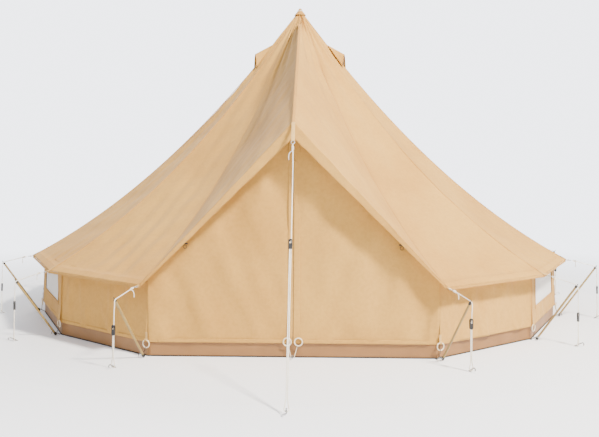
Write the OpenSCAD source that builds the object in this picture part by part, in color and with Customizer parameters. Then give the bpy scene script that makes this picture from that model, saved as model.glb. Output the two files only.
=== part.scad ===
// Canvas bell tent, pitched: centre pole, A-frame door, leaning side poles and guylines.
// Millimetres, +Z up. The origin is on the ground under the centre pole, the door faces -Y.
// Seams are counted from the door: seam 0 is the door ridge, then anticlockwise from above.

/* [Tent] */
// Radius of the floor at its corners
base_r = 2500; // [2000:10:3500]
// Height at which the roof seams would meet
peak_h = 2975; // [2400:5:3600]
// How far the eave corners stand outside the floor corners
eave_out = 100; // [70:5:160]
// Height of the eave corners
eave_h = 548; // [480:2:700]
// Sag of the roof seams, as a share of their fall
roof_sag = 0.44; // [0.3:0.01:0.5]
// Thickness of the roof cloth with its seams, straight down
roof_t = 4; // [3:0.5:8]
// Depth of the hem that hangs from the eaves
valance_h = 14; // [10:1:60]
// Thickness of the wall and door cloth with its hems
cloth_t = 3; // [2:0.5:5]
// How far the wall leans in at its top
wall_lean = 24; // [0:2:40]
// Height of the lower hem of the wall and doors
hem_z = 108; // [90:2:120]
// Height of the groundsheet's upstand
tray_h = 125; // [100:5:150]
// Thickness of the groundsheet
tray_t = 3; // [2:0.5:5]

/* [Door] */
// How far the door ridge's tip stands out from the front
door_peak_out = 142.6; // [100:0.1:200]
// Height of the door ridge's tip
door_peak_h = 1738; // [1450:2:2000]
// Height of the top of the opening leaves
leaf_top = 1500; // [1200:10:1560]
// Distance of the leaves' lower corners from the front's corners
leaf_margin = 46; // [26:1:300]
// Width of each zip tape
tape_w = 13; // [10:1:20]
// Width of each storm flap
flap_w = 42; // [30:2:60]
// Depth of the door peak's valance
peak_valance_h = 105; // [60:5:130]

/* [Windows and vents] */
// Width of each window
window_w = 800; // [400:10:820]
// Height of the window sill
sill_z = 256; // [220:5:300]
// Height of the window head
head_z = 530; // [420:5:560]
// Distance of a vent hood's lip from the centre
hood_r = 455; // [400:5:520]
// Height of a vent hood's lip above the roof seam
hood_h = 125; // [90:5:150]

/* [Poles] */
// Diameter of the centre pole
centre_d = 32; // [28:1:38]
// Wall thickness of the pole tubes
tube_wall = 1.5; // [1:0.1:2.5]
// Diameter of the door frame's tube
frame_d = 22; // [19:1:26]
// Diameter of the side poles
side_d = 17; // [16:1:22]
// How far the side poles' feet stand outside the floor corners
foot_out = 50; // [44:2:70]
// How far the side poles' tips stand outside the floor corners
tip_out = 368; // [350:2:380]
// Height of the side poles' tips
tip_h = 482; // [470:1:490]

/* [Ropes and rings] */
// Diameter of the guy rope
rope_d = 7; // [6:0.5:8]
// Diameter of the pegs
peg_d = 8; // [6:0.5:9]
// Radius of the corner rings' centreline
ring_r = 29; // [22:1:32]
// Thickness of the corner rings
ring_d = 10; // [8:1:12]
// Length of a guyline runner
runner_len = 76; // [60:1:90]
// Width of a guyline runner
runner_w = 27; // [24:1:34]
// Thickness of a guyline runner
runner_t = 12; // [11:0.5:16]

/* [Hidden] */
$fn = 40;
GORES = 14;
STEP = 360 / GORES;
CORNERS = [for (k = [1:GORES - 1]) k];
SPOTS = concat(
    ["front"],
    [for (k = [1:6]) str("right_", k)],
    ["back"],
    [for (k = [6:-1:1]) str("left_", k)]
);

CANVAS = "#DFC6A0";
BROWN = "#B98F66";
STEEL = "#B8AC98";
BLACK = "#202020";
WHITE = "#F2EBDD";

// Clearances
GAP = 0.5;
SEAM_GAP = 0.15;
FIT = 0.1;
SEW = 2;

// Roof
eave_r = base_r + eave_out;
ROOF_U = [0.012, 0.035, 0.06, 0.1, 0.16, 0.25, 0.36, 0.48, 0.61, 0.74, 0.87, 1];
ROOF_ROWS = len(ROOF_U) - 1;
RIDGE_SAG = 0.1;
RIDGE_DIP = 0.777;
RIDGE_DIP_R = 220;

// Wall and front
WALL_GAP = 12;
FRONT_GAP = 5;
HINGE_GAP = 3;
LEAF_GAP = 2;
TAPE_GAP = 1.5;
TAPE_T = 1.2;
front_y = base_r * cos(STEP) + FRONT_GAP;
wall_r = base_r + WALL_GAP;
corner_x = wall_r * sin(STEP) - 4;
door_peak_r = front_y + door_peak_out;
leaf_half_w = corner_x - leaf_margin;

// Side pole, from the foot to the tip
FOOT_Z = 8;
CAP_D_MORE = 4;
CAP_LEN = 24;
CAP_END = 6;
pole_run = tip_out - foot_out;
pole_rise = tip_h - FOOT_Z;
pole_len = norm([pole_run, pole_rise]);
pole_tilt = atan2(pole_run, pole_rise);

// Pegs
PEG_TILT = 60;
FRONT_PEG_TILT = 55;
PEG_BELOW = 70;
PEG_ABOVE = 34;
HOOK_R = 11;

// Guylines: radius past the rope's own base, sideways offset and height of each route point.
// The base is the floor corner, or FRONT_BASE past the door ridge's tip for the front one.
FRONT_BASE = 100;
SIDE_ROUTE = [
    [160, 0, 541], [180, 1, 536], [220, 3, 526], [280, 6, 511], [330, 8.3, 499],
    [352, 8.3, 493.5], [364, 8.3, 490], [372, 8.3, 486], [378, 8.3, 480], [381, 8.3, 470],
    [381.5, 8.3, 450], [382, 6.5, 425], [383, 4.5, 395], [388.5, 4.5, 245], [394, 4.5, 100],
    [394.5, 5.5, 75], [395, 9, 52], [395, 12.8, 35], [395, 14, 20], [395, 12, 13],
    [395, 7, 8], [395, 0, 6]
];
FRONT_ROUTE = [
    [23, 0, 1577], [40, 1, 1553], [80, 3, 1495], [140, 4.5, 1409], [220, 4.5, 1294],
    [400, 4.5, 1036], [600, 4.5, 749], [800, 4.5, 461], [950, 4.5, 246], [1040, 4.5, 117],
    [1065, 6, 81], [1083, 10, 55], [1092, 13, 42], [1098, 14, 33], [1102, 12, 27],
    [1105, 7.3, 23], [1106, 0, 21.5]
];
// Heights of the runners, in the order of SPOTS
RUNNER_Z = [925, 335, 235, 270, 300, 270, 270, 270, 270, 270, 300, 250, 290, 270];
STRAND = 4.5;
TAIL = 14;
ROPE_SIDES = 8;
SIDE_SLOPE = [11, 295];
FRONT_SLOPE = [200, 287.1];

function seam_az(k) = k * STEP;
function at(r, a, z) = [r * sin(a), -r * cos(a), z];
function fall(u, sag) = (1 + sag) * u - sag * u * u;
function seam_z(u) = peak_h - (peak_h - eave_h) * fall(u, roof_sag);
// Near the top the door ridge falls as steeply as the seams, to lie under the cap
function ridge_dip(r) = RIDGE_DIP * r * exp(-pow(r / RIDGE_DIP_R, 2));
function ridge_z(u) = peak_h - (peak_h - door_peak_h) * fall(u, RIDGE_SAG)
    - ridge_dip(door_peak_r * u);
function is_ridge(k) = k % GORES == 0;
function roof_point(k, u) = is_ridge(k)
    ? [0, -door_peak_r * u, ridge_z(u)]
    : at(eave_r * u, seam_az(k), seam_z(u));
function sideways(k) = [cos(seam_az(k)), sin(seam_az(k)), 0];
function unit(v) = v / norm(v);
function backwards(p) = [for (i = [len(p) - 1:-1:0]) p[i]];

// A sheet between two edges that run downwards, left and right as seen from its face
module sheet(left, right, drop) {
    n = len(left);
    face = concat(left, right);
    last = n - 1;
    back = 2 * n;
    polyhedron(
        points = concat(face, [for (p = face) p + drop]),
        faces = concat(
            [for (i = [0:n - 2]) each [
                [i, n + i, n + i + 1],
                [i, n + i + 1, i + 1],
                [back + i, back + n + i + 1, back + n + i],
                [back + i, back + i + 1, back + n + i + 1],
                [i, i + 1, back + i + 1],
                [i, back + i + 1, back + i],
                [n + i + 1, n + i, back + n + i],
                [n + i + 1, back + n + i, back + n + i + 1]
            ]],
            [
                [n, 0, back],
                [n, back, back + n],
                [last, n + last, back + n + last],
                [last, back + n + last, back + last]
            ]
        )
    );
}

// Tube along a line of points, closed at both ends
function tangents(p) = [for (i = [0:len(p) - 1])
    unit(p[min(i + 1, len(p) - 1)] - p[max(i - 1, 0)])];
function carried(t, side, i = 0) = i == len(t) ? [] :
    let (s = unit(side - (side * t[i]) * t[i])) concat([s], carried(t, s, i + 1));
module tube(p, d, side) {
    t = tangents(p);
    s = carried(t, side);
    n = ROPE_SIDES;
    m = len(p);
    polyhedron(
        points = concat(
            [for (i = [0:m - 1], j = [0:n - 1])
                let (a = 360 * j / n)
                p[i] + d / 2 * (cos(a) * s[i] + sin(a) * cross(t[i], s[i]))],
            [p[0], p[m - 1]]
        ),
        faces = concat(
            [for (i = [0:m - 2], j = [0:n - 1])
                let (a = i * n + j, b = i * n + (j + 1) % n)
                each [[a, a + n, b + n], [a, b + n, b]]],
            [for (j = [0:n - 1]) [m * n, j, (j + 1) % n]],
            [for (j = [0:n - 1])
                [m * n + 1, (m - 1) * n + (j + 1) % n, (m - 1) * n + j]]
        )
    );
}

// Smooth line through the route points, with one point more in each stretch
function between(p, i) =
    let (
        a = p[max(i - 1, 0)],
        b = p[i],
        c = p[i + 1],
        d = p[min(i + 2, len(p) - 1)]
    )
    (9 * (b + c) - a - d) / 16;
function smooth(p) = concat(
    [for (i = [0:len(p) - 2]) each [p[i], between(p, i)]],
    [p[len(p) - 1]]
);

module round_bar(a, b, d) {
    v = b - a;
    translate(a)
        rotate([0, acos(v[2] / norm(v)), atan2(v[1], v[0])])
            cylinder(d = d, h = norm(v));
}

module torus(r, d) {
    rotate_extrude()
        translate([r, 0]) circle(d = d, $fn = 20);
}

// Places children at seam k, with +X pointing out of the tent
module at_seam(k) {
    rotate([0, 0, seam_az(k) - 90]) children();
}

// Stands a plate in the front plane, with its outline in X and Z
module in_front_plane(t, y = front_y) {
    translate([0, -y, 0])
        rotate([90, 0, 0])
            linear_extrude(t) children();
}

// ---------- Roof ----------

module gore(k) {
    sheet(
        [for (u = ROOF_U) roof_point(k, u) + SEAM_GAP * sideways(k)],
        [for (u = ROOF_U) roof_point(k + 1, u) - SEAM_GAP * sideways(k + 1)],
        [0, 0, -roof_t]
    );
}

VENTS = [3, 7, 11];
VENT_HOLE_D = 90;
vent_hole_r = hood_r - 65;

module vent_hole(k) {
    at_seam(k)
        translate([vent_hole_r, 0, seam_z(hood_r / eave_r) - 100])
            cylinder(d = VENT_HOLE_D, h = 400, $fn = 8);
}

module roof_canvas() {
    color(CANVAS)
        for (k = [0:GORES - 1])
            if (k == GORES - 1)
                mirror([1, 0, 0]) gore(0);
            else if (len([for (v = VENTS) if (v == k || v == k + 1) v]) > 0)
                difference() {
                    gore(k);
                    for (v = VENTS)
                        if (v == k || v == k + 1)
                            vent_hole(v);
                }
            else
                gore(k);
}

// Dome over the top of the centre pole and the first hand's width of the seams
CAP_R = 58;
CAP_T = 4;
CAP_LIFT = 14;
cap_low = seam_z(CAP_R / eave_r) + CAP_LIFT;
cap_neck = seam_z(30 / eave_r) + CAP_LIFT;
module apex_cap() {
    color("#D9BC8C")
        rotate_extrude()
            polygon([
                [0, peak_h + 9], [0, peak_h + 13], [12, peak_h + 9], [22, peak_h - 3],
                [32, cap_neck + CAP_T], [CAP_R, cap_low + CAP_T], [CAP_R, cap_low],
                [30, cap_neck], [19, peak_h - 6], [10, peak_h + 6]
            ]);
}

// Strip that hangs from the eave between two seams, and under the door's slopes
function valance_drop(k) = is_ridge(k) ? peak_valance_h : valance_h;
function valance_edge(k) =
    let (
        top = roof_point(k, 1) - [0, 0, roof_t + GAP]
    )
    [top, top - [0, 0, valance_drop(k)]];
function inward(k) = is_ridge(k)
    ? [0, cloth_t, 0]
    : let (a = seam_az(k)) -cloth_t * [sin(a), -cos(a), 0];
module valance_strip(k) {
    left = [for (p = valance_edge(k)) p + SEAM_GAP * sideways(k)];
    right = [for (p = valance_edge(k + 1)) p - SEAM_GAP * sideways(k + 1)];
    polyhedron(
        points = [
            left[0], right[0], right[1], left[1],
            left[0] + inward(k), right[0] + inward(k + 1),
            right[1] + inward(k + 1), left[1] + inward(k)
        ],
        faces = [
            [0, 1, 2], [0, 2, 3], [5, 4, 7], [5, 7, 6], [4, 5, 1], [4, 1, 0],
            [3, 2, 6], [3, 6, 7], [4, 0, 3], [4, 3, 7], [1, 5, 6], [1, 6, 2]
        ]
    );
}
module eave_valance() {
    color(CANVAS)
        for (k = [0:GORES - 1]) valance_strip(k);
}

// ---------- Wall ----------

WINDOWS = [2, 5, 8, 11];
wall_top = seam_z((wall_r - wall_lean + cloth_t) / eave_r) - roof_t - SEW;
wall_angle = atan2(wall_lean, wall_top);
function wall_half(z) = (wall_r - wall_lean * z / wall_top) * sin(STEP / 2) - SEAM_GAP;
function has_window(k) = len([for (w = WINDOWS) if (w == k) w]) > 0;

// Places children on the wall between seams k and k + 1: X along it, Y up, Z outwards
module on_wall(k) {
    rotate([0, 0, (k + 0.5) * STEP])
        translate([0, -wall_r * cos(STEP / 2), 0])
            rotate([90 - wall_angle, 0, 0])
                children();
}
module window_outline(more) {
    translate([-window_w / 2 - more, sill_z - more])
        square([window_w + 2 * more, head_z - sill_z + 2 * more]);
}
module wall_panel(k) {
    on_wall(k)
        linear_extrude(cloth_t)
            difference() {
                polygon([
                    [-wall_half(hem_z), hem_z], [wall_half(hem_z), hem_z],
                    [wall_half(wall_top), wall_top], [-wall_half(wall_top), wall_top]
                ]);
                if (has_window(k)) window_outline(0);
            }
}
module wall_canvas() {
    color(CANVAS)
        for (k = [1:GORES - 2]) wall_panel(k);
}

NET_T = 1.2;
NET_LAP = 15;
module mesh_nets() {
    color("#E6E4DF") {
        for (k = WINDOWS)
            on_wall(k)
                translate([0, 0, -GAP - NET_T])
                    linear_extrude(NET_T) window_outline(NET_LAP);
        for (k = VENTS)
            at_seam(k)
                translate([hood_r - 12, 0, seam_z(hood_r / eave_r)])
                    rotate([90, 0, 90])
                        linear_extrude(NET_T)
                            polygon([
                                [-HOOD_HALF + 26, 8], [0, 18], [HOOD_HALF - 26, 8],
                                [0, hood_h - 45]
                            ]);
    }
}

// ---------- Vent hoods ----------

HOOD_HALF = 80;
HOOD_TOP_R = 285;
HOOD_T = 7;
HOOD_LIFT = 12;
hood_side_z = seam_z(hood_r * 1.04 / eave_r) + HOOD_LIFT;
module hood_side(k, side) {
    a = seam_az(k);
    out = at(1, a, 0);
    along = side * [cos(a), sin(a), 0];
    top = HOOD_TOP_R * out + [0, 0, seam_z(HOOD_TOP_R / eave_r) + HOOD_LIFT];
    lip = hood_r * out + [0, 0, seam_z(hood_r / eave_r) + hood_h];
    corner = hood_r * out + HOOD_HALF * along + [0, 0, hood_side_z];
    face = side > 0 ? [top, corner, lip] : [top, lip, corner];
    polyhedron(
        points = concat(face, [for (p = face) p - [0, 0, HOOD_T]]),
        faces = [
            [0, 1, 2], [3, 5, 4], [1, 0, 3], [1, 3, 4],
            [2, 1, 4], [2, 4, 5], [0, 2, 5], [0, 5, 3]
        ]
    );
}
module vent_hoods() {
    color(CANVAS)
        for (k = VENTS, side = [-1, 1]) hood_side(k, side);
}

// ---------- Front and doors ----------

front_eave_u = (front_y + cloth_t) / (eave_r * cos(STEP));
front_ridge_u = (front_y + cloth_t) / door_peak_r;
FRONT_SEW = 18;
front_top_z = ridge_z(front_ridge_u) - roof_t - FRONT_SEW;
front_side_z = seam_z(front_eave_u) - roof_t - FRONT_SEW;
hinge_rise = leaf_top - hem_z;
hinge_len = norm([leaf_half_w, hinge_rise]);
hinge_shift_x = HINGE_GAP * hinge_len / hinge_rise;
hinge_shift_z = HINGE_GAP * hinge_len / leaf_half_w;

module front_panels() {
    color(CANVAS)
        for (side = [0, 1])
            mirror([side, 0, 0])
                in_front_plane(cloth_t)
                    polygon([
                        [SEAM_GAP, front_top_z - SEAM_GAP], [corner_x, front_side_z],
                        [corner_x, hem_z], [leaf_half_w + hinge_shift_x, hem_z],
                        [SEAM_GAP, leaf_top + hinge_shift_z]
                    ]);
}

leaf_slope = hinge_rise / leaf_half_w;
flap_top = leaf_top - leaf_slope * flap_w - 30;
module leaf() {
    in_front_plane(cloth_t)
        polygon([
            [LEAF_GAP, hem_z], [leaf_half_w - hinge_shift_x, hem_z],
            [LEAF_GAP, leaf_top - hinge_shift_z - leaf_slope * LEAF_GAP]
        ]);
    in_front_plane(cloth_t, front_y + cloth_t + GAP)
        translate([TAPE_GAP, hem_z + 4])
            square([flap_w, flap_top - hem_z]);
}
module door_left() {
    color(CANVAS) mirror([1, 0, 0]) leaf();
}
module door_right() {
    color(CANVAS) leaf();
}

tape_y = front_y - 3.2;
tape_top = leaf_top - leaf_slope * tape_w - 20;
TAPE_LOW = 24;
module zip_tape() {
    in_front_plane(TAPE_T, tape_y)
        translate([TAPE_GAP, hem_z + TAPE_LOW])
            square([tape_w, tape_top - hem_z - TAPE_LOW]);
}
module zip_tape_left() {
    color("#8A7A5E") mirror([1, 0, 0]) zip_tape();
}
module zip_tape_right() {
    color("#8A7A5E") zip_tape();
}

// The slider grips the right tape, with a pull that hangs out between the leaves
SLIDER_H = 22;
SLIDER_W = 9;
slider_z = hem_z + TAPE_LOW + 8;
module zip_slider() {
    color(STEEL) {
        difference() {
            translate([-1, -tape_y - TAPE_T - 1.5, slider_z])
                cube([SLIDER_W, TAPE_T + 4.5, SLIDER_H]);
            translate([TAPE_GAP - GAP, -tape_y - TAPE_T - GAP, slider_z - 1])
                cube([SLIDER_W, TAPE_T + 2 * GAP, SLIDER_H + 2]);
        }
        translate([-1, -front_y - 16, slider_z + 4])
            cube([2, 16, 12]);
    }
}

// ---------- Groundsheet ----------

function floor_corners(r) = [for (k = CORNERS) let (p = at(r, seam_az(k), 0)) [p[0], p[1]]];
module upstand(k, next) {
    a = at(base_r, seam_az(k), tray_h) + SEAM_GAP * sideways(k);
    b = at(base_r, seam_az(next), tray_h) - SEAM_GAP * sideways(next);
    c = at(base_r - tray_t, seam_az(k), tray_h) + SEAM_GAP * sideways(k);
    d = at(base_r - tray_t, seam_az(next), tray_h) - SEAM_GAP * sideways(next);
    down = [0, 0, tray_t + SEAM_GAP - tray_h];
    polyhedron(
        points = [a, b, b + down, a + down, c, d, d + down, c + down],
        faces = [
            [0, 1, 2], [0, 2, 3], [5, 4, 7], [5, 7, 6], [4, 5, 1], [4, 1, 0],
            [3, 2, 6], [3, 6, 7], [4, 0, 3], [4, 3, 7], [1, 5, 6], [1, 6, 2]
        ]
    );
}
module groundsheet() {
    color(BROWN) {
        linear_extrude(tray_t) polygon(floor_corners(base_r));
        for (k = CORNERS) upstand(k, k == GORES - 1 ? 1 : k + 1);
    }
}

// ---------- Centre pole ----------

FOOT_D = 110;
FOOT_T = 8;
SPIGOT = 100;
centre_in_d = centre_d - 2 * tube_wall;
spigot_d = centre_in_d - 2 * FIT;
centre_z0 = tray_t + GAP + FOOT_T;
centre_z3 = peak_h - 90;
section = (centre_z3 - centre_z0) / 3;

module section_tube(i, spigot) {
    color(STEEL)
        translate([0, 0, centre_z0 + i * section])
            difference() {
                union() {
                    cylinder(d = centre_d, h = section);
                    if (spigot) cylinder(d = spigot_d, h = section + SPIGOT);
                }
                translate([0, 0, -1])
                    cylinder(d = centre_in_d, h = section + 1 - SPIGOT);
                translate([0, 0, -1])
                    cylinder(
                        d = spigot ? spigot_d - 2 * tube_wall : centre_in_d,
                        h = section + SPIGOT + 2
                    );
            }
}
module centre_pole_lower() { section_tube(0, true); }
module centre_pole_middle() { section_tube(1, true); }
module centre_pole_upper() { section_tube(2, false); }
module centre_pole_foot() {
    color(BLACK) {
        translate([0, 0, tray_t + GAP]) {
            cylinder(d = FOOT_D, h = FOOT_T);
            cylinder(d = spigot_d, h = FOOT_T + 60);
        }
    }
}
module centre_pole_cap() {
    color(BLACK)
        translate([0, 0, centre_z3]) {
            translate([0, 0, -60]) cylinder(d = spigot_d, h = 60);
            cylinder(d = 88, h = 12);
            cylinder(d = 38, h = 44);
        }
}

// ---------- Door frame ----------

FRAME_FOOT_Z = 14;
FRAME_TOP_X = 34;
frame_y = front_y - 42;
frame_foot_x = corner_x - 76;
frame_top_z = front_top_z - 95;
frame_run = frame_foot_x - FRAME_TOP_X;
frame_rise = frame_top_z - FRAME_FOOT_Z;
frame_len = norm([frame_run, frame_rise]);
frame_tilt = atan2(frame_run, frame_rise);
SOCKET = 60;

// Places children at the foot of the right leg, with +Z up along the leg
module along_leg() {
    translate([frame_foot_x, -frame_y, FRAME_FOOT_Z])
        rotate([0, -frame_tilt, 0]) children();
}
module leg() {
    half = frame_len / 2;
    inner = frame_d - 2 * tube_wall;
    along_leg() {
        difference() {
            union() {
                translate([0, 0, CAP_END]) cylinder(d = frame_d, h = half - CAP_END);
                cylinder(d = inner - 2 * FIT, h = half + SPIGOT);
            }
            translate([0, 0, -1])
                cylinder(d = inner - 2 * tube_wall, h = half + SPIGOT + 2);
            translate([0, 0, -1]) cylinder(d = frame_d + 1, h = 1 + CAP_END);
        }
        translate([0, 0, half])
            difference() {
                cylinder(d = frame_d, h = half - GAP);
                translate([0, 0, -1]) cylinder(d = inner, h = half + 2);
            }
    }
}
module door_frame_right() {
    color(STEEL) leg();
}
module door_frame_left() {
    color(STEEL) mirror([1, 0, 0]) leg();
}
module cup(d, h = CAP_LEN) {
    difference() {
        cylinder(d = d + CAP_D_MORE, h = h);
        translate([0, 0, CAP_END - FIT]) cylinder(d = d + 2 * FIT, h = h);
    }
}
module door_frame_feet() {
    color(BLACK)
        for (side = [0, 1])
            mirror([side, 0, 0]) along_leg() cup(frame_d);
}
module door_frame_elbow() {
    color(BLACK)
        difference() {
            union() {
                for (side = [0, 1])
                    mirror([side, 0, 0])
                        along_leg()
                            translate([0, 0, frame_len - SOCKET])
                                cylinder(d = frame_d + CAP_D_MORE, h = SOCKET + CAP_END);
                translate([-FRAME_TOP_X, -frame_y - 10, frame_top_z - 26])
                    cube([2 * FRAME_TOP_X, 20, 34]);
            }
            for (side = [0, 1])
                mirror([side, 0, 0])
                    along_leg()
                        translate([0, 0, frame_len - SOCKET - 30])
                            cylinder(d = frame_d + 2 * FIT, h = SOCKET + 30);
        }
}

// ---------- Side poles ----------

// Places children at the foot of the side pole of seam k, with +Z up along the pole
module along_pole(k) {
    at_seam(k)
        translate([base_r + foot_out, 0, FOOT_Z])
            rotate([0, pole_tilt, 0]) children();
}
module side_poles() {
    color("#C9A878")
        for (k = CORNERS)
            along_pole(k)
                difference() {
                    translate([0, 0, CAP_END])
                        cylinder(d = side_d, h = pole_len - 2 * CAP_END);
                    cylinder(d = side_d - 2 * tube_wall, h = pole_len);
                }
}
PIN_D = 6;
PIN_LEN = 22;
TIP_LEN = 14;
module side_pole_caps() {
    color(BLACK)
        for (k = CORNERS)
            along_pole(k) {
                cup(side_d);
                translate([0, 0, pole_len]) {
                    mirror([0, 0, 1]) cup(side_d, TIP_LEN);
                    translate([0, 0, -1]) cylinder(d = PIN_D, h = PIN_LEN + 1);
                }
            }
}

// ---------- Pegs ----------

// Rod that leans out of the ground and passes the given point, hooked at its top
module peg(r, z, tilt) {
    intersection() {
        translate([r, 0, z])
            rotate([0, tilt, 0]) {
                translate([0, 0, -PEG_BELOW]) cylinder(d = peg_d, h = PEG_BELOW + PEG_ABOVE);
                translate([HOOK_R, 0, PEG_ABOVE])
                    rotate([90, 0, 0])
                        rotate([0, 0, 20])
                            rotate_extrude(angle = 160)
                                translate([HOOK_R, 0]) circle(d = peg_d, $fn = 20);
            }
        translate([r - 200, -50, 0]) cube([400, 100, 300]);
    }
}
PEG_LIFT = 2 * rope_d / 2 + peg_d / 2 + GAP - rope_d / 2;
side_end = SIDE_ROUTE[len(SIDE_ROUTE) - 1];
front_end = FRONT_ROUTE[len(FRONT_ROUTE) - 1];
module guy_pegs() {
    color("#8C8C88") {
        for (k = CORNERS)
            at_seam(k)
                peg(base_r + side_end[0], side_end[2] + PEG_LIFT + 1.2, PEG_TILT);
        at_seam(0)
            peg(
                route_base(0) + front_end[0] - 5,
                front_end[2] + PEG_LIFT - 0.6,
                FRONT_PEG_TILT
            );
    }
}
BASE_PEG_OUT = 32;
BASE_PEG_SIDE = 26;
BASE_PEG_Z = 15;
DOOR_PEG_OUT = 34;
module base_pegs() {
    color("#8C8C88") {
        for (k = CORNERS)
            at_seam(k)
                translate([0, -BASE_PEG_SIDE, 0])
                    peg(base_r + BASE_PEG_OUT, BASE_PEG_Z, PEG_TILT);
        rotate([0, 0, -90])
            peg(front_y + DOOR_PEG_OUT, BASE_PEG_Z, PEG_TILT);
    }
}

// ---------- Rings ----------

RING_OUT = 22;
ring_z = hem_z - 10;
module corner_rings() {
    color(WHITE)
        for (k = CORNERS)
            at_seam(k)
                translate([base_r + RING_OUT, 0, ring_z])
                    rotate([0, 90, 0]) torus(ring_r, ring_d);
}
ELASTIC_D = 5;
ring_low = ring_z - ring_r - ring_d / 2 - ELASTIC_D / 2 - GAP;
module ring_elastics() {
    color(BLACK)
        for (k = CORNERS)
            at_seam(k)
                round_bar(
                    [base_r + RING_OUT, -3, ring_low],
                    [base_r + BASE_PEG_OUT - 2, -BASE_PEG_SIDE + 7.5, BASE_PEG_Z + 8],
                    ELASTIC_D
                );
}
DOOR_RING_X = 42;
DOOR_RING_Y = 14;
DOOR_RING_LIFT = 14;
door_ring_z = hem_z + DOOR_RING_LIFT;
module door_ring() {
    y = -front_y - cloth_t - DOOR_RING_Y;
    translate([DOOR_RING_X, y, door_ring_z])
        rotate([90, 0, 0]) torus(ring_r, ring_d);
    round_bar(
        [DOOR_RING_X - 10, y - 3, door_ring_z - ring_r - ring_d / 2 - ELASTIC_D],
        [12, -front_y - DOOR_PEG_OUT + 4, BASE_PEG_Z - 3],
        ELASTIC_D
    );
}
module door_ring_left() {
    color(WHITE) mirror([1, 0, 0]) door_ring();
}
module door_ring_right() {
    color(WHITE) door_ring();
}

TAB_W = 26;
TAB_T = 2;
TAB_IN = 40;
TAB_OUT = 16;
TAB_GAP = 3;
EAVE_RING_R = 13;
EAVE_RING_D = 5;
TAB_LIFT = 2;
tab_drop = seam_z(1 - TAB_IN / eave_r) - eave_h;
FRONT_TAB = 165;
front_tab_angle = 53;
module eave_rings() {
    color("#C8C4BA") {
        for (k = CORNERS)
            at_seam(k) {
                if (k == 1 || k == GORES - 1)
                    translate([eave_r + TAB_GAP, -TAB_W / 2, eave_h - TAB_LIFT])
                        cube([TAB_OUT - TAB_GAP, TAB_W, TAB_T]);
                else
                    translate([eave_r - TAB_IN, -TAB_W / 2, eave_h + tab_drop + TAB_LIFT])
                        rotate([0, atan2(tab_drop, TAB_IN), 0])
                            cube([TAB_IN + TAB_OUT, TAB_W, TAB_T]);
                translate([eave_r + TAB_OUT + EAVE_RING_R + EAVE_RING_D, 0, eave_h - 4])
                    rotate([0, 10, 0]) torus(EAVE_RING_R, EAVE_RING_D);
            }
        at_seam(0)
            translate([door_peak_r + 6, 0, door_peak_h])
                rotate([0, front_tab_angle, 0]) {
                    translate([0, -TAB_W / 2, 0]) cube([FRONT_TAB, TAB_W, TAB_T]);
                    translate([FRONT_TAB + EAVE_RING_R + EAVE_RING_D, 0, 0])
                        torus(EAVE_RING_R, EAVE_RING_D);
                }
    }
}

TOGGLE_X = 0.7367 * corner_x;
TOGGLE_Z = 850;
TOGGLE_LEN = 42;
module door_toggles() {
    color(BLACK)
        for (side = [-1, 1])
            translate([side * TOGGLE_X, -front_y - cloth_t - 8, TOGGLE_Z]) {
                translate([-TOGGLE_LEN / 2, 0, 0])
                    rotate([0, 90, 0]) cylinder(d = 11, h = TOGGLE_LEN);
                translate([0, 3, -24]) rotate([90, 0, 0]) torus(13, 4);
            }
}

// ---------- Guylines ----------

function route_base(i) = i == 0 ? door_peak_r + FRONT_BASE : base_r;
function route_slope(i) = i == 0 ? FRONT_SLOPE : SIDE_SLOPE;
// The strand's distance past its base at height z, on its straight stretch
function strand_out(i, z) = i == 0
    ? 140 + (1409 - z) * FRONT_SLOPE[0] / FRONT_SLOPE[1]
    : 383 + (395 - z) * SIDE_SLOPE[0] / SIDE_SLOPE[1];
function mirrored(p) = [p[0], -p[1], p[2]];
// The strand that comes back up from the peg to the runner
function return_route(i, route) =
    let (
        z = RUNNER_Z[i] + TAIL,
        up = backwards([for (p = route) mirrored(p)]),
        low = [for (p = up) if (p[2] < z - 30 && p[2] > route[len(route) - 1][2]) p]
    )
    concat(low, [[strand_out(i, z), -STRAND, z]]);
function guy_route(i) =
    let (route = i == 0 ? FRONT_ROUTE : SIDE_ROUTE)
    concat(route, return_route(i, route));

module guyline(i) {
    color(WHITE)
        at_seam(i)
            translate([route_base(i), 0, 0])
                tube(smooth(guy_route(i)), rope_d, [0, 0, 1]);
}

ROPE_PLAY = 1.4;
module runner() {
    straight = runner_len - runner_w;
    hole = rope_d + ROPE_PLAY;
    difference() {
        rotate([90, 0, 90])
            linear_extrude(runner_t, center = true) {
                square([runner_w, straight], center = true);
                for (s = [-1, 1])
                    translate([0, s * straight / 2]) circle(d = runner_w);
            }
        for (s = [-1, 1])
            translate([0, s * STRAND, -runner_len])
                cylinder(d = hole, h = 2 * runner_len);
        cube([hole, 2 * STRAND, 2 * runner_len], center = true);
        translate([-runner_t, -6, 4]) cube([2 * runner_t, 12, 22]);
    }
}
module tensioner(i) {
    slope = route_slope(i);
    z = RUNNER_Z[i];
    color(BLACK)
        at_seam(i)
            translate([route_base(i) + strand_out(i, z), 0, z])
                rotate([0, -atan2(slope[0], slope[1]), 0]) runner();
}

roof_canvas();
apex_cap();
eave_valance();
wall_canvas();
front_panels();
door_left();
door_right();
zip_tape_left();
zip_tape_right();
zip_slider();
mesh_nets();
vent_hoods();
groundsheet();
centre_pole_lower();
centre_pole_middle();
centre_pole_upper();
centre_pole_foot();
centre_pole_cap();
door_frame_left();
door_frame_right();
door_frame_elbow();
door_frame_feet();
side_poles();
side_pole_caps();
guy_pegs();
base_pegs();
corner_rings();
ring_elastics();
door_ring_left();
door_ring_right();
eave_rings();
door_toggles();
for (i = [0:GORES - 1]) {
    guyline(i);
    tensioner(i);
}
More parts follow.
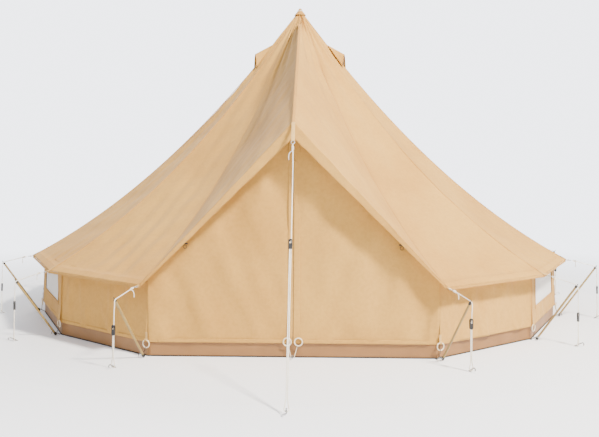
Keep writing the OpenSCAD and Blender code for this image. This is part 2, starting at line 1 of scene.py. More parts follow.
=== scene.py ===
"""Canvas bell tent on its poles: cloth, ropes, poles and pegs.

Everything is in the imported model's frame: metres, +Z up, the door at -Y.
"""

import logging
import math
from dataclasses import dataclass, field
from enum import Enum
from typing import Callable, Sequence

import bmesh
import bpy
import numpy as np
from mathutils import Matrix, Vector

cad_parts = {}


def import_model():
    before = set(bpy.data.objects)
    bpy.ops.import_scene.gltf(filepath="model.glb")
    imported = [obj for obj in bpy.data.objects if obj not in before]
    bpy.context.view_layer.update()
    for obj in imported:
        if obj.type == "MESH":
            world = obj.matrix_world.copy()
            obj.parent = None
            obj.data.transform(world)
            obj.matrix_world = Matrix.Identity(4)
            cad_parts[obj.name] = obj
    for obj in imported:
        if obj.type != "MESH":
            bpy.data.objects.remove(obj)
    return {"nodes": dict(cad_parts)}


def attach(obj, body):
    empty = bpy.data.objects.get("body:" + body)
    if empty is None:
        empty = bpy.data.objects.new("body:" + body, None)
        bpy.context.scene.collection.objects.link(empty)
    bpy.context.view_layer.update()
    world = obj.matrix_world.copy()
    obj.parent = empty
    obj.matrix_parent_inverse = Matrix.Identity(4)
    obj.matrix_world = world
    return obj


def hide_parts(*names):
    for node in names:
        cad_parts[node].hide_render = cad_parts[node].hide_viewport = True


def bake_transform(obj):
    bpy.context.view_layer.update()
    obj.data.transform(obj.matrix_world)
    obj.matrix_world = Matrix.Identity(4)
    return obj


logging.basicConfig(level=logging.INFO, format="%(name)s: %(message)s")
LOG = logging.getLogger("tent")

Array = np.ndarray
GORES = 14
STEP = 2 * math.pi / GORES
CORNERS = range(1, GORES)
ROOT = "tent"
# Cloth thicknesses in metres.
CANVAS_T = 0.0012
DOUBLE_T = 0.0014
CAP_T = 0.0016
FLOOR_T = 0.0012
BAND_T = 0.001
WEBBING_T = 0.0012
NET_T = 0.0008
TAPE_T = 0.0008


class Side(Enum):
    """Which half of the tent, as the factor on X seen from the front."""

    LEFT = -1
    RIGHT = 1


# ---------- Sizes ----------


@dataclass(frozen=True)
class TentShape:
    """The tent's own sizes in metres, the same as the CAD model's."""

    base_r: float = 2.5
    peak_h: float = 2.975
    eave_r: float = 2.6
    eave_h: float = 0.548
    sag: float = 0.44
    ridge_sag: float = 0.1
    dip: float = 0.777
    dip_r: float = 0.22
    door_peak_r: float = 2.4
    door_peak_h: float = 1.738
    roof_t: float = 0.004
    valance: float = 0.014
    peak_valance: float = 0.105
    hem_z: float = 0.108
    tray_h: float = 0.125
    leaf_top: float = 1.5
    leaf_half: float = 1.0399
    cloth_t: float = 0.003
    lean: float = 0.024
    wall_gap: float = 0.012
    window_w: float = 0.8
    sill: float = 0.256
    head: float = 0.53
    hood_r: float = 0.455
    hood_h: float = 0.125
    hood_top_r: float = 0.285
    hood_half: float = 0.08

    @property
    def wall_r(self) -> float:
        """Radius of the wall's corners at the ground."""
        return self.base_r + self.wall_gap

    @property
    def front_y(self) -> float:
        """Distance of the front's inner face from the centre."""
        return self.base_r * math.cos(STEP) + 0.005

    @property
    def front_face(self) -> float:
        """Distance of the front's outer face from the centre."""
        return self.front_y + self.cloth_t

    @property
    def corner_x(self) -> float:
        """Half width of the front."""
        return self.wall_r * math.sin(STEP) - 0.004

    def seam_z(self, u: Array | float) -> Array | float:
        """Height of an ordinary roof seam.

        Args:
            u: share of the way from the top to the eave.
        Returns:
            The height in metres.
        """
        return self.peak_h - (self.peak_h - self.eave_h) * (
            (1 + self.sag) * u - self.sag * u * u
        )

    def ridge_z(self, u: Array | float) -> Array | float:
        """Height of the door ridge at share u of its length."""
        r = self.door_peak_r * u
        fall = (1 + self.ridge_sag) * u - self.ridge_sag * u * u
        dip = self.dip * r * np.exp(-((r / self.dip_r) ** 2))
        return self.peak_h - (self.peak_h - self.door_peak_h) * fall - dip

    def rib(self, k: int, u: Array) -> Array:
        """Points down seam k.

        Args:
            k: seam, counted from the door ridge.
            u: shares of the way down.
        Returns:
            One row per share.
        """
        u = np.asarray(u, float)
        if k % GORES == 0:
            return np.stack([0 * u, -self.door_peak_r * u, self.ridge_z(u)], -1)
        a = k * STEP
        r = self.eave_r * u
        return np.stack([r * math.sin(a), -r * math.cos(a), self.seam_z(u)], -1)

    @property
    def wall_top(self) -> float:
        """Height of the top of the wall."""
        u = (self.wall_r - self.lean + self.cloth_t) / self.eave_r
        return float(self.seam_z(u)) - self.roof_t - 0.002

    @property
    def front_top(self) -> float:
        """Height of the front's top at the middle."""
        u = self.front_face / self.door_peak_r
        return float(self.ridge_z(u)) - self.roof_t - 0.018

    @property
    def front_side(self) -> float:
        """Height of the front's top at its corners."""
        u = self.front_face / (self.eave_r * math.cos(STEP))
        return float(self.seam_z(u)) - self.roof_t - 0.018


SHAPE = TentShape()


def radial(r: float, k: float, z: float, side: float = 0.0) -> Vector:
    """A point at radius r on seam k, moved sideways, anticlockwise seen from above."""
    a = k * STEP
    return Vector(
        (
            r * math.sin(a) + side * math.cos(a),
            -r * math.cos(a) + side * math.sin(a),
            z,
        )
    )


# ---------- Colour and materials ----------


def linear(code: str) -> tuple[float, float, float, float]:
    """An sRGB colour such as "#DFC6A0" as linear RGBA."""
    parts = [int(code[i : i + 2], 16) / 255 for i in (1, 3, 5)]
    done = [c / 12.92 if c <= 0.04045 else ((c + 0.055) / 1.055) ** 2.4 for c in parts]
    return (*done, 1.0)


class Shader:
    """A material's node tree, with a principled shader at its end."""

    def __init__(self, name: str) -> None:
        """Starts an empty material with that name."""
        self.material = bpy.data.materials.new(name)
        self.material.use_nodes = True
        self.tree = self.material.node_tree
        self.bsdf = self.tree.nodes["Principled BSDF"]

    def add(
        self,
        kind: str,
        links: dict[str | int, bpy.types.NodeSocket] | None = None,
        values: dict[str | int, object] | None = None,
        **settings: object,
    ) -> bpy.types.Node:
        """Adds a node.

        Args:
            kind: the node's type.
            links: input name to the socket that feeds it.
            values: input name to a constant.
            settings: properties of the node.
        Returns:
            The node.
        """
        made = self.tree.nodes.new(kind)
        for key, value in settings.items():
            setattr(made, key, value)
        for key, value in (values or {}).items():
            made.inputs[key].default_value = value
        for key, socket in (links or {}).items():
            self.tree.links.new(socket, made.inputs[key])
        return made

    def coords(self, name: str = "Object") -> bpy.types.NodeSocket:
        """The object's own coordinates, or its UV."""
        return self.add("ShaderNodeTexCoord").outputs[name]

    def noise(
        self, where: bpy.types.NodeSocket, scale: float, detail: float = 4.0
    ) -> bpy.types.NodeSocket:
        """Fractal noise of that many patches in a metre."""
        return self.add(
            "ShaderNodeTexNoise",
            {"Vector": where},
            {"Scale": scale, "Detail": detail, "Roughness": 0.55},
        ).outputs[0]

    def ramp(
        self, factor: bpy.types.NodeSocket, stops: Sequence[tuple[float, str]]
    ) -> bpy.types.NodeSocket:
        """A colour ramp over the stops, each a place and an sRGB colour."""
        made = self.add("ShaderNodeValToRGB", {"Fac": factor})
        elements = made.color_ramp.elements
        while len(elements) < len(stops):
            elements.new(0.5)
        for element, (place, code) in zip(elements, stops):
            element.position = place
            element.color = linear(code)
        return made.outputs[0]

    def mix(
        self,
        factor: bpy.types.NodeSocket | float,
        a: bpy.types.NodeSocket,
        b: bpy.types.NodeSocket | str,
        blend: str = "MIX",
    ) -> bpy.types.NodeSocket:
        """Mixes two colours."""
        made = self.add("ShaderNodeMix", data_type="RGBA", blend_type=blend)
        if isinstance(factor, float):
            made.inputs[0].default_value = factor
        else:
            self.tree.links.new(factor, made.inputs[0])
        self.tree.links.new(a, made.inputs[6])
        if isinstance(b, str):
            made.inputs[7].default_value = linear(b)
        else:
            self.tree.links.new(b, made.inputs[7])
        return made.outputs[2]

    def bump(
        self, height: bpy.types.NodeSocket, strength: float, distance: float
    ) -> None:
        """Bumps the surface; distance is in metres."""
        made = self.add(
            "ShaderNodeBump",
            {"Height": height},
            {"Strength": strength, "Distance": distance},
        )
        self.tree.links.new(made.outputs[0], self.bsdf.inputs["Normal"])

    def finish(
        self,
        colour: bpy.types.NodeSocket,
        roughness: float,
        metallic: float = 0.0,
        sheen: float = 0.0,
    ) -> bpy.types.Material:
        """Links the colour and sets the constants on the shader's own sockets."""
        self.tree.links.new(colour, self.bsdf.inputs["Base Color"])
        self.bsdf.inputs["Roughness"].default_value = roughness
        self.bsdf.inputs["Metallic"].default_value = metallic
        self.bsdf.inputs["Sheen Weight"].default_value = sheen
        return self.material


@dataclass(frozen=True)
class Woven:
    """Woven cloth or webbing, with a plain weave of real threads."""

    name: str
    slot: str
    colour: str
    shade: str
    threads: float = 1100.0
    relief: float = 0.00025
    dirt: float = 0.35

    def build(self) -> bpy.types.Material:
        """Returns the material."""
        s = Shader(self.name)
        uv = s.coords("UV")
        place = s.coords()
        broad = s.noise(place, 1.3, 5.0)
        fine = s.noise(place, 38.0, 3.0)
        colour = s.ramp(broad, [(0.3, self.shade), (0.62, self.colour)])
        slubs = s.ramp(fine, [(0.35, "#E9E4DA"), (0.6, "#FFFFFF")])
        colour = s.mix(self.dirt, colour, slubs, "MULTIPLY")
        waves = [
            s.add(
                "ShaderNodeTexWave",
                {"Vector": uv},
                {"Scale": self.threads / 6.2832, "Distortion": 0.4},
                bands_direction=way,
            ).outputs[1]
            for way in ("X", "Y")
        ]
        weave = s.add(
            "ShaderNodeMath", {0: waves[0], 1: waves[1]}, operation="MULTIPLY"
        ).outputs[0]
        s.bump(weave, 0.35, self.relief)
        return s.finish(colour, 0.9, sheen=0.04)


@dataclass(frozen=True)
class Moulded:
    """Moulded plastic, coated sheet or rubber, with a fine grain."""

    name: str
    slot: str
    colour: str
    worn: str
    roughness: float = 0.5
    grain: float = 900.0
    relief: float = 0.0001

    def build(self) -> bpy.types.Material:
        """Returns the material."""
        s = Shader(self.name)
        place = s.coords()
        wear = s.noise(place, 6.0, 6.0)
        colour = s.ramp(wear, [(0.35, self.colour), (0.75, self.worn)])
        s.bump(s.noise(place, self.grain, 2.0), 0.25, self.relief)
        return s.finish(colour, self.roughness)


@dataclass(frozen=True)
class Metal:
    """Drawn or painted metal, with fine scratches."""

    name: str
    slot: str
    colour: str
    worn: str
    roughness: float = 0.38
    metallic: float = 1.0

    def build(self) -> bpy.types.Material:
        """Returns the material."""
        s = Shader(self.name)
        place = s.coords()
        wear = s.noise(place, 9.0, 8.0)
        colour = s.ramp(wear, [(0.38, self.colour), (0.7, self.worn)])
        s.bump(s.noise(place, 420.0, 2.0), 0.12, 0.0001)
        return s.finish(colour, self.roughness, self.metallic)


class Finish(Enum):
    """Every finish on the tent."""

    # 285 g/m2 sand cotton canvas
    CANVAS = Woven("cotton_canvas", "canvas", "#C99A4A", "#BC8A3C")
    # the same canvas, doubled and stitched, so a little darker
    SEAM = Woven("felled_seam_canvas", "canvas", "#C39145", "#B68439")
    # heavier canvas of the cap
    CAP = Woven("cap_canvas", "cap_canvas", "#BC8B3E", "#AA7A31")
    # polyester webbing of the tabs
    WEBBING = Woven("webbing_tape", "webbing", "#CEA868", "#BF9756", 2600.0, 0.0004)
    # insect netting of the windows
    NET = Woven("window_netting", "net", "#E9E6E1", "#DDD8D1", 2400.0, 0.0003, 0.2)
    # netting across the vent hoods' openings, coloured dark as painted shade of the hollow under each
    # hood
    VENT_NET = Woven("vent_netting_painted_shade", "net", "#4A4034", "#3A3128", 2400.0, 0.0003)
    # cotton sewing thread
    THREAD = Woven("sewing_thread", "canvas", "#D3A65C", "#C6994E", 4000.0, 0.0001)
    # braided cotton rope
    ROPE = Woven("cotton_rope", "rope", "#F4EEE2", "#E6DDCB", 3000.0, 0.0002, 0.3)
    # woven tape of the zip
    ZIP_TAPE = Woven("zip_tape", "zip_tape", "#A8916A", "#978059", 2600.0, 0.0002)
    # 540 g/m2 coated groundsheet
    GROUNDSHEET = Moulded("coated_groundsheet", "groundsheet", "#94693A", "#865E33")
    # welded edge bead of the groundsheet, coloured near-black as painted contact shadow along the
    # ground
    GROUND_SHADOW_EDGE = Moulded("groundsheet_edge_painted_shadow", "groundsheet", "#2B221A", "#221B15", 0.6)
    # black nylon of the caps and runners
    BLACK = Moulded("black_nylon", "black_plastic", "#1B1A1A", "#2A2827", 0.42)
    # cream nylon of the rings
    CREAM = Moulded("cream_nylon", "white_ring", "#EBDDC0", "#DCCCAA", 0.4)
    # dark elastic cord
    ELASTIC = Moulded("elastic_cord", "elastic", "#2B2623", "#3A3430", 0.75, 2200.0)
    # galvanised steel tube
    STEEL = Metal("galvanised_steel", "pole_steel", "#B9B7B0", "#A3A19B")
    # side poles in tan paint
    PAINT = Metal("tan_paint", "side_pole", "#9A8248", "#85693C", 0.45, 0.0)
    # bright steel of the pegs
    PEG = Metal("peg_steel", "peg_steel", "#A2A19C", "#8B8A86", 0.32)
    # dull metal of the zip
    ZIP = Metal("zip_metal", "zip_metal", "#8F8B82", "#7D796F", 0.4)


class Palette:
    """Builds each finish once."""

    def __init__(self) -> None:
        """Starts with no finish built."""
        self._made: dict[Finish, bpy.types.Material] = {}

    def of(self, finish: Finish) -> bpy.types.Material:
        """Returns the material of a finish."""
        if finish not in self._made:
            self._made[finish] = finish.value.build()
        return self._made[finish]

    def paint(self, obj: bpy.types.Object, finish: Finish) -> bpy.types.Object:
        """Gives a piece one finish."""
        obj.data.materials.clear()
        obj.data.materials.append(self.of(finish))
        return obj


# ---------- Mesh helpers ----------


def link(name: str, mesh: bpy.types.Mesh) -> bpy.types.Object:
    """Puts a mesh in the scene under that name."""
    obj = bpy.data.objects.new(name, mesh)
    bpy.context.scene.collection.objects.link(obj)
    LOG.info("%s: %d faces", name, len(mesh.polygons))
    return obj


def mesh_of(
    name: str,
    points: Array,
    faces: Sequence[Sequence[int]],
    uv: Array | None = None,
    flat_from: int | None = None,
) -> bpy.types.Object:
    """A mesh object from points and faces.

    Args:
        name: the piece's name.
        points: one row per vertex.
        faces: vertex numbers of each face.
        uv: one row per vertex, in metres.
        flat_from: first face that isn't shaded smooth.
    Returns:
        The object.
    """
    mesh = bpy.data.meshes.new(name)
    mesh.from_pydata(np.asarray(points).tolist(), [], [list(map(int, f)) for f in faces])
    smooth = np.ones(len(mesh.polygons), bool)
    if flat_from is not None:
        smooth[flat_from:] = False
    mesh.polygons.foreach_set("use_smooth", smooth)
    if uv is not None:
        layer = mesh.uv_layers.new(name="UVMap")
        index = np.empty(len(mesh.loops), np.int32)
        mesh.loops.foreach_get("vertex_index", index)
        layer.data.foreach_set("uv", np.asarray(uv)[index].astype(np.float32).ravel())
    mesh.update()
    return link(name, mesh)


def ripples(points: Array, seed: int, size: float, count: int = 7) -> Array:
    """Smooth random relief from -1 to 1.

    Args:
        points: where, in metres.
        seed: picks the pattern.
        size: the waves' length in metres.
        count: how many waves are summed.
    Returns:
        One height per point.
    """
    rng = np.random.default_rng(seed)
    total = np.zeros(points.shape[:-1])
    for _ in range(count):
        way = rng.normal(size=3)
        way *= 2 * math.pi / size / np.linalg.norm(way) * rng.uniform(0.6, 1.7)
        total += np.sin(points @ way + rng.uniform(0, 6.28))
    return total / math.sqrt(count) / 1.4


def normals_of(grid: Array) -> Array:
    """Unit normals of a grid of points, rows by columns."""
    down = np.gradient(grid, axis=0)
    across = np.gradient(grid, axis=1)
    n = np.cross(down, across)
    return n / np.maximum(np.linalg.norm(n, axis=-1, keepdims=True), 1e-12)


@dataclass
class Cloth:
    """A thin sheet laid over a grid of points.

    Attributes:
        name: the piece's name.
        grid: points, rows down by columns across, seen from the outside.
        thickness: in metres, added on the inside.
        hole: row and column ranges of the cells that are left out.
        offset: moves the points along the outward normal.
    """

    name: str
    grid: Array
    thickness: float = 0.0012
    hole: tuple[int, int, int, int] | None = None
    offset: Array | None = None

    def build(self) -> bpy.types.Object:
        """Returns the closed sheet."""
        grid = self.grid
        rows, cols = grid.shape[:2]
        across = np.linalg.norm(np.diff(grid, axis=1), axis=-1)
        down = np.linalg.norm(np.diff(grid, axis=0), axis=-1)
        u = np.concatenate([np.zeros((rows, 1)), np.cumsum(across, 1)], 1)
        v = np.concatenate([np.zeros((1, cols)), np.cumsum(down, 0)], 0)
        u -= u[:, -1:] / 2
        normal = normals_of(grid)
        outer = grid if self.offset is None else grid + normal * self.offset[..., None]
        normal = normals_of(outer)
        inner = outer - normal * self.thickness
        index = np.arange(rows * cols).reshape(rows, cols)
        keep = np.ones((rows - 1, cols - 1), bool)
        if self.hole:
            r0, r1, c0, c1 = self.hole
            keep[r0:r1, c0:c1] = False
        a, b = index[:-1, :-1][keep], index[:-1, 1:][keep]
        d, c = index[1:, :-1][keep], index[1:, 1:][keep]
        front = np.stack([a, d, c, b], 1)
        n = rows * cols
        back = front[:, ::-1] + n
        edges: dict[tuple[int, int], tuple[int, int]] = {}
        for quad in front.tolist():
            for i in range(4):
                p, q = quad[i], quad[(i + 1) % 4]
                if (q, p) in edges:
                    del edges[(q, p)]
                else:
                    edges[(p, q)] = (p, q)
        rim = [[q, p, p + n, q + n] for p, q in edges.values()]
        points = np.concatenate([outer.reshape(-1, 3), inner.reshape(-1, 3)])
        uv = np.stack([u, -v], -1).reshape(-1, 2)
        faces = front.tolist() + back.tolist() + rim
        used = np.unique(np.array(front.tolist() + back.tolist()))
        remap = -np.ones(2 * n, int)
        remap[used] = np.arange(len(used))
        faces = [[int(remap[i]) for i in f] for f in faces]
        return mesh_of(
            self.name,
            points[used],
            faces,
            np.concatenate([uv, uv])[used],
            2 * len(front),
        )


def blend_grid(a: Array, b: Array, across: Array) -> Array:
    """A grid between two edges, each a row of points."""
    t = across[None, :, None]
    return a[:, None, :] * (1 - t) + b[:, None, :] * t


def area_of(grid: Array) -> float:
    """Area of a grid of points in square metres."""
    across = grid[:-1, 1:] - grid[:-1, :-1]
    down = grid[1:, :-1] - grid[:-1, :-1]
    return float(np.linalg.norm(np.cross(across, down), axis=-1).sum())


def resample(points: Array, step: float) -> Array:
    """A smooth line through the points, cut into equal steps.

    Args:
        points: the route.
        step: the cut's length in metres.
    Returns:
        The points of the line.
    """
    p = np.asarray(points, float)
    ends = np.concatenate([[2 * p[0] - p[1]], p, [2 * p[-1] - p[-2]]])
    t = np.linspace(0, 1, 9)[:-1, None]
    parts = []
    for i in range(len(p) - 1):
        a, b, c, d = ends[i : i + 4]
        parts.append(
            0.5
            * (
                2 * b
                + (c - a) * t
                + (2 * a - 5 * b + 4 * c - d) * t**2
                + (3 * b - a - 3 * c + d) * t**3
            )
        )
    line = np.concatenate([*parts, p[-1:]])
    run = np.concatenate([[0], np.cumsum(np.linalg.norm(np.diff(line, axis=0), axis=1))])
    count = max(3, int(round(run[-1] / step)) + 1)
    wanted = np.linspace(0, run[-1], count)
    return np.stack([np.interp(wanted, run, line[:, i]) for i in range(3)], 1)


def frames_along(line: Array) -> tuple[Array, Array, Array]:
    """Tangents and two carried side directions along a line."""
    tangent = np.gradient(line, axis=0)
    tangent /= np.linalg.norm(tangent, axis=1, keepdims=True)
    side = np.cross(tangent[0], [0.31, 0.17, 0.93])
    side /= np.linalg.norm(side)
    sides = []
    for t in tangent:
        side = side - (side @ t) * t
        side = side / np.linalg.norm(side)
        sides.append(side)
    sides = np.array(sides)
    return tangent, sides, np.cross(tangent, sides)


def sweep(
    name: str,
    line: Array,
    radius: float,
    sides: int = 12,
    strands: int = 0,
    lay: float = 0.03,
) -> bpy.types.Object:
    """A tube along a line, laid up of strands if asked.

    Args:
        name: the piece's name.
        line: evenly spaced points.
        radius: in metres.
        sides: points round the tube.
        strands: how many strands show, or 0 for a plain round tube.
        lay: length of one turn of the strands in metres.
    Returns:
        The object.
    """
    _, s, b = frames_along(line)
    run = np.concatenate([[0], np.cumsum(np.linalg.norm(np.diff(line, axis=0), axis=1))])
    angle = np.linspace(0, 2 * math.pi, sides, endpoint=False)
    r = np.full((len(line), sides), radius)
    if strands:
        phase = strands * (angle[None, :] - 2 * math.pi * run[:, None] / lay)
        r = radius * (0.86 + 0.14 * np.abs(np.cos(phase / 2)) ** 0.7)
    ring = (
        np.cos(angle)[None, :, None] * s[:, None, :]
        + np.sin(angle)[None, :, None] * b[:, None, :]
    )
    points = line[:, None, :] + r[..., None] * ring
    n = len(line)
    faces = []
    for i in range(n - 1):
        for j in range(sides):
            k = (j + 1) % sides
            faces.append(
                [i * sides + j, i * sides + k, (i + 1) * sides + k, (i + 1) * sides + j]
            )
    faces.append(list(range(sides))[::-1])
    faces.append([(n - 1) * sides + j for j in range(sides)])
    uv = np.stack(
        np.broadcast_arrays(angle[None, :] * radius, run[:, None]), -1
    ).reshape(-1, 2)
    return mesh_of(name, points.reshape(-1, 3), faces, uv, len(faces) - 2)


def torus(name: str, centre: Vector, normal: Vector, r: float, d: float) -> bpy.types.Object:
    """A ring of round wire."""
    turn = Vector((0, 0, 1)).rotation_difference(normal).to_matrix()
    big, small = 44, 16
    points = []
    for i in range(big):
        a = 2 * math.pi * i / big
        for j in range(small):
            b = 2 * math.pi * j / small
            q = r + d / 2 * math.cos(b)
            points.append(
                centre + turn @ Vector((q * math.cos(a), q * math.sin(a), d / 2 * math.sin(b)))
            )
    faces = [
        [
            i * small + j,
            ((i + 1) % big) * small + j,
            ((i + 1) % big) * small + (j + 1) % small,
            i * small + (j + 1) % small,
        ]
        for i in range(big)
        for j in range(small)
    ]
    return mesh_of(name, np.array([tuple(p) for p in points]), faces)


def joined(name: str, parts: Sequence[bpy.types.Object]) -> bpy.types.Object:
    """Several pieces of one finish as one piece."""
    build = bmesh.new()
    for part in parts:
        build.from_mesh(part.data)
    mesh = bpy.data.meshes.new(name)
    build.to_mesh(mesh)
    build.free()
    for part in parts:
        bpy.data.objects.remove(part)
    for face in mesh.polygons:
        face.use_smooth = True
    return link(name, mesh)


# ---------- Geometry Nodes: stitches and teeth along lines ----------


class Rows:
    """Repeats a small block along lines of points, with Geometry Nodes."""

    def __init__(self, palette: Palette) -> None:
        """Makes the node group that every row of blocks shares."""
        self.palette = palette
        self.group = self._make()

    def _make(self) -> bpy.types.NodeTree:
        """Builds the node group with its named inputs."""
        tree = bpy.data.node_groups.new("blocks_along_lines", "GeometryNodeTree")
        face = tree.interface
        face.new_socket("Geometry", in_out="INPUT", socket_type="NodeSocketGeometry")
        for title, value in (("Spacing", 0.01), ("Length", 0.006), ("Width", 0.001)):
            made = face.new_socket(title, in_out="INPUT", socket_type="NodeSocketFloat")
            made.default_value = value
        face.new_socket("Material", in_out="INPUT", socket_type="NodeSocketMaterial")
        face.new_socket("Geometry", in_out="OUTPUT", socket_type="NodeSocketGeometry")
        add = tree.nodes.new
        wire = tree.links.new
        start, end = add("NodeGroupInput"), add("NodeGroupOutput")
        curve = add("GeometryNodeMeshToCurve")
        cut = add("GeometryNodeResampleCurve")
        cut.mode = "LENGTH"
        size = add("ShaderNodeCombineXYZ")
        block = add("GeometryNodeMeshCube")
        points = add("GeometryNodeCurveToPoints")
        points.mode = "EVALUATED"
        place = add("GeometryNodeInstanceOnPoints")
        real = add("GeometryNodeRealizeInstances")
        paint = add("GeometryNodeSetMaterial")
        wire(start.outputs["Geometry"], curve.inputs[0])
        wire(curve.outputs[0], cut.inputs[0])
        wire(start.outputs["Spacing"], cut.inputs["Length"])
        wire(start.outputs["Width"], size.inputs[0])
        wire(start.outputs["Width"], size.inputs[1])
        wire(start.outputs["Length"], size.inputs[2])
        wire(size.outputs[0], block.inputs["Size"])
        wire(cut.outputs[0], points.inputs[0])
        wire(points.outputs["Points"], place.inputs["Points"])
        wire(points.outputs["Rotation"], place.inputs["Rotation"])
        wire(block.outputs[0], place.inputs["Instance"])
        wire(place.outputs[0], real.inputs[0])
        wire(real.outputs[0], paint.inputs[0])
        wire(start.outputs["Material"], paint.inputs["Material"])
        wire(paint.outputs[0], end.inputs[0])
        return tree

    def along(
        self,
        name: str,
        lines: Sequence[Array],
        finish: Finish,
        spacing: float,
        length: float,
        width: float,
    ) -> bpy.types.Object:
        """Blocks along the lines.

        Args:
            name: the piece's name.
            lines: each a line of points.
            finish: the blocks' finish.
            spacing: distance between blocks in metres.
            length: a block's length along the line.
            width: a block's width and height.
        Returns:
            The piece.
        """
        points = np.concatenate(lines)
        edges: list[tuple[int, int]] = []
        first = 0
        for line in lines:
            edges += [(first + i, first + i + 1) for i in range(len(line) - 1)]
            first += len(line)
        mesh = bpy.data.meshes.new(name + "_lines")
        mesh.from_pydata(points.tolist(), edges, [])
        source = bpy.data.objects.new(name + "_lines", mesh)
        bpy.context.scene.collection.objects.link(source)
        modifier = source.modifiers.new("rows", "NODES")
        modifier.node_group = self.group
        values = {
            "Spacing": spacing,
            "Length": length,
            "Width": width,
            "Material": self.palette.of(finish),
        }
        for item in self.group.interface.items_tree:
            if item.in_out == "INPUT" and item.name in values:
                modifier[item.identifier] = values[item.name]
        source.update_tag()
        bpy.context.view_layer.update()
        graph = bpy.context.evaluated_depsgraph_get()
        done = bpy.data.meshes.new_from_object(source.evaluated_get(graph))
        done.name = name
        bpy.data.objects.remove(source)
        return link(name, done)


# ---------- Sub-assemblies ----------


@dataclass
class Assembly:
    """What every sub-assembly shares."""

    palette: Palette
    rows: Rows
    made: list[bpy.types.Object] = field(default_factory=list)

    def keep(
        self, obj: bpy.types.Object, finish: Finish | None, body: str | None = ROOT
    ) -> bpy.types.Object:
        """Paints a piece and puts it on its body."""
        if finish is not None:
            self.palette.paint(obj, finish)
        if body is not None:
            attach(obj, body)
        self.made.append(obj)
        return obj


SPOTS = (
    ["front"]
    + [f"right_{k}" for k in range(1, 7)]
    + ["back"]
    + [f"left_{k}" for k in range(6, 0, -1)]
)


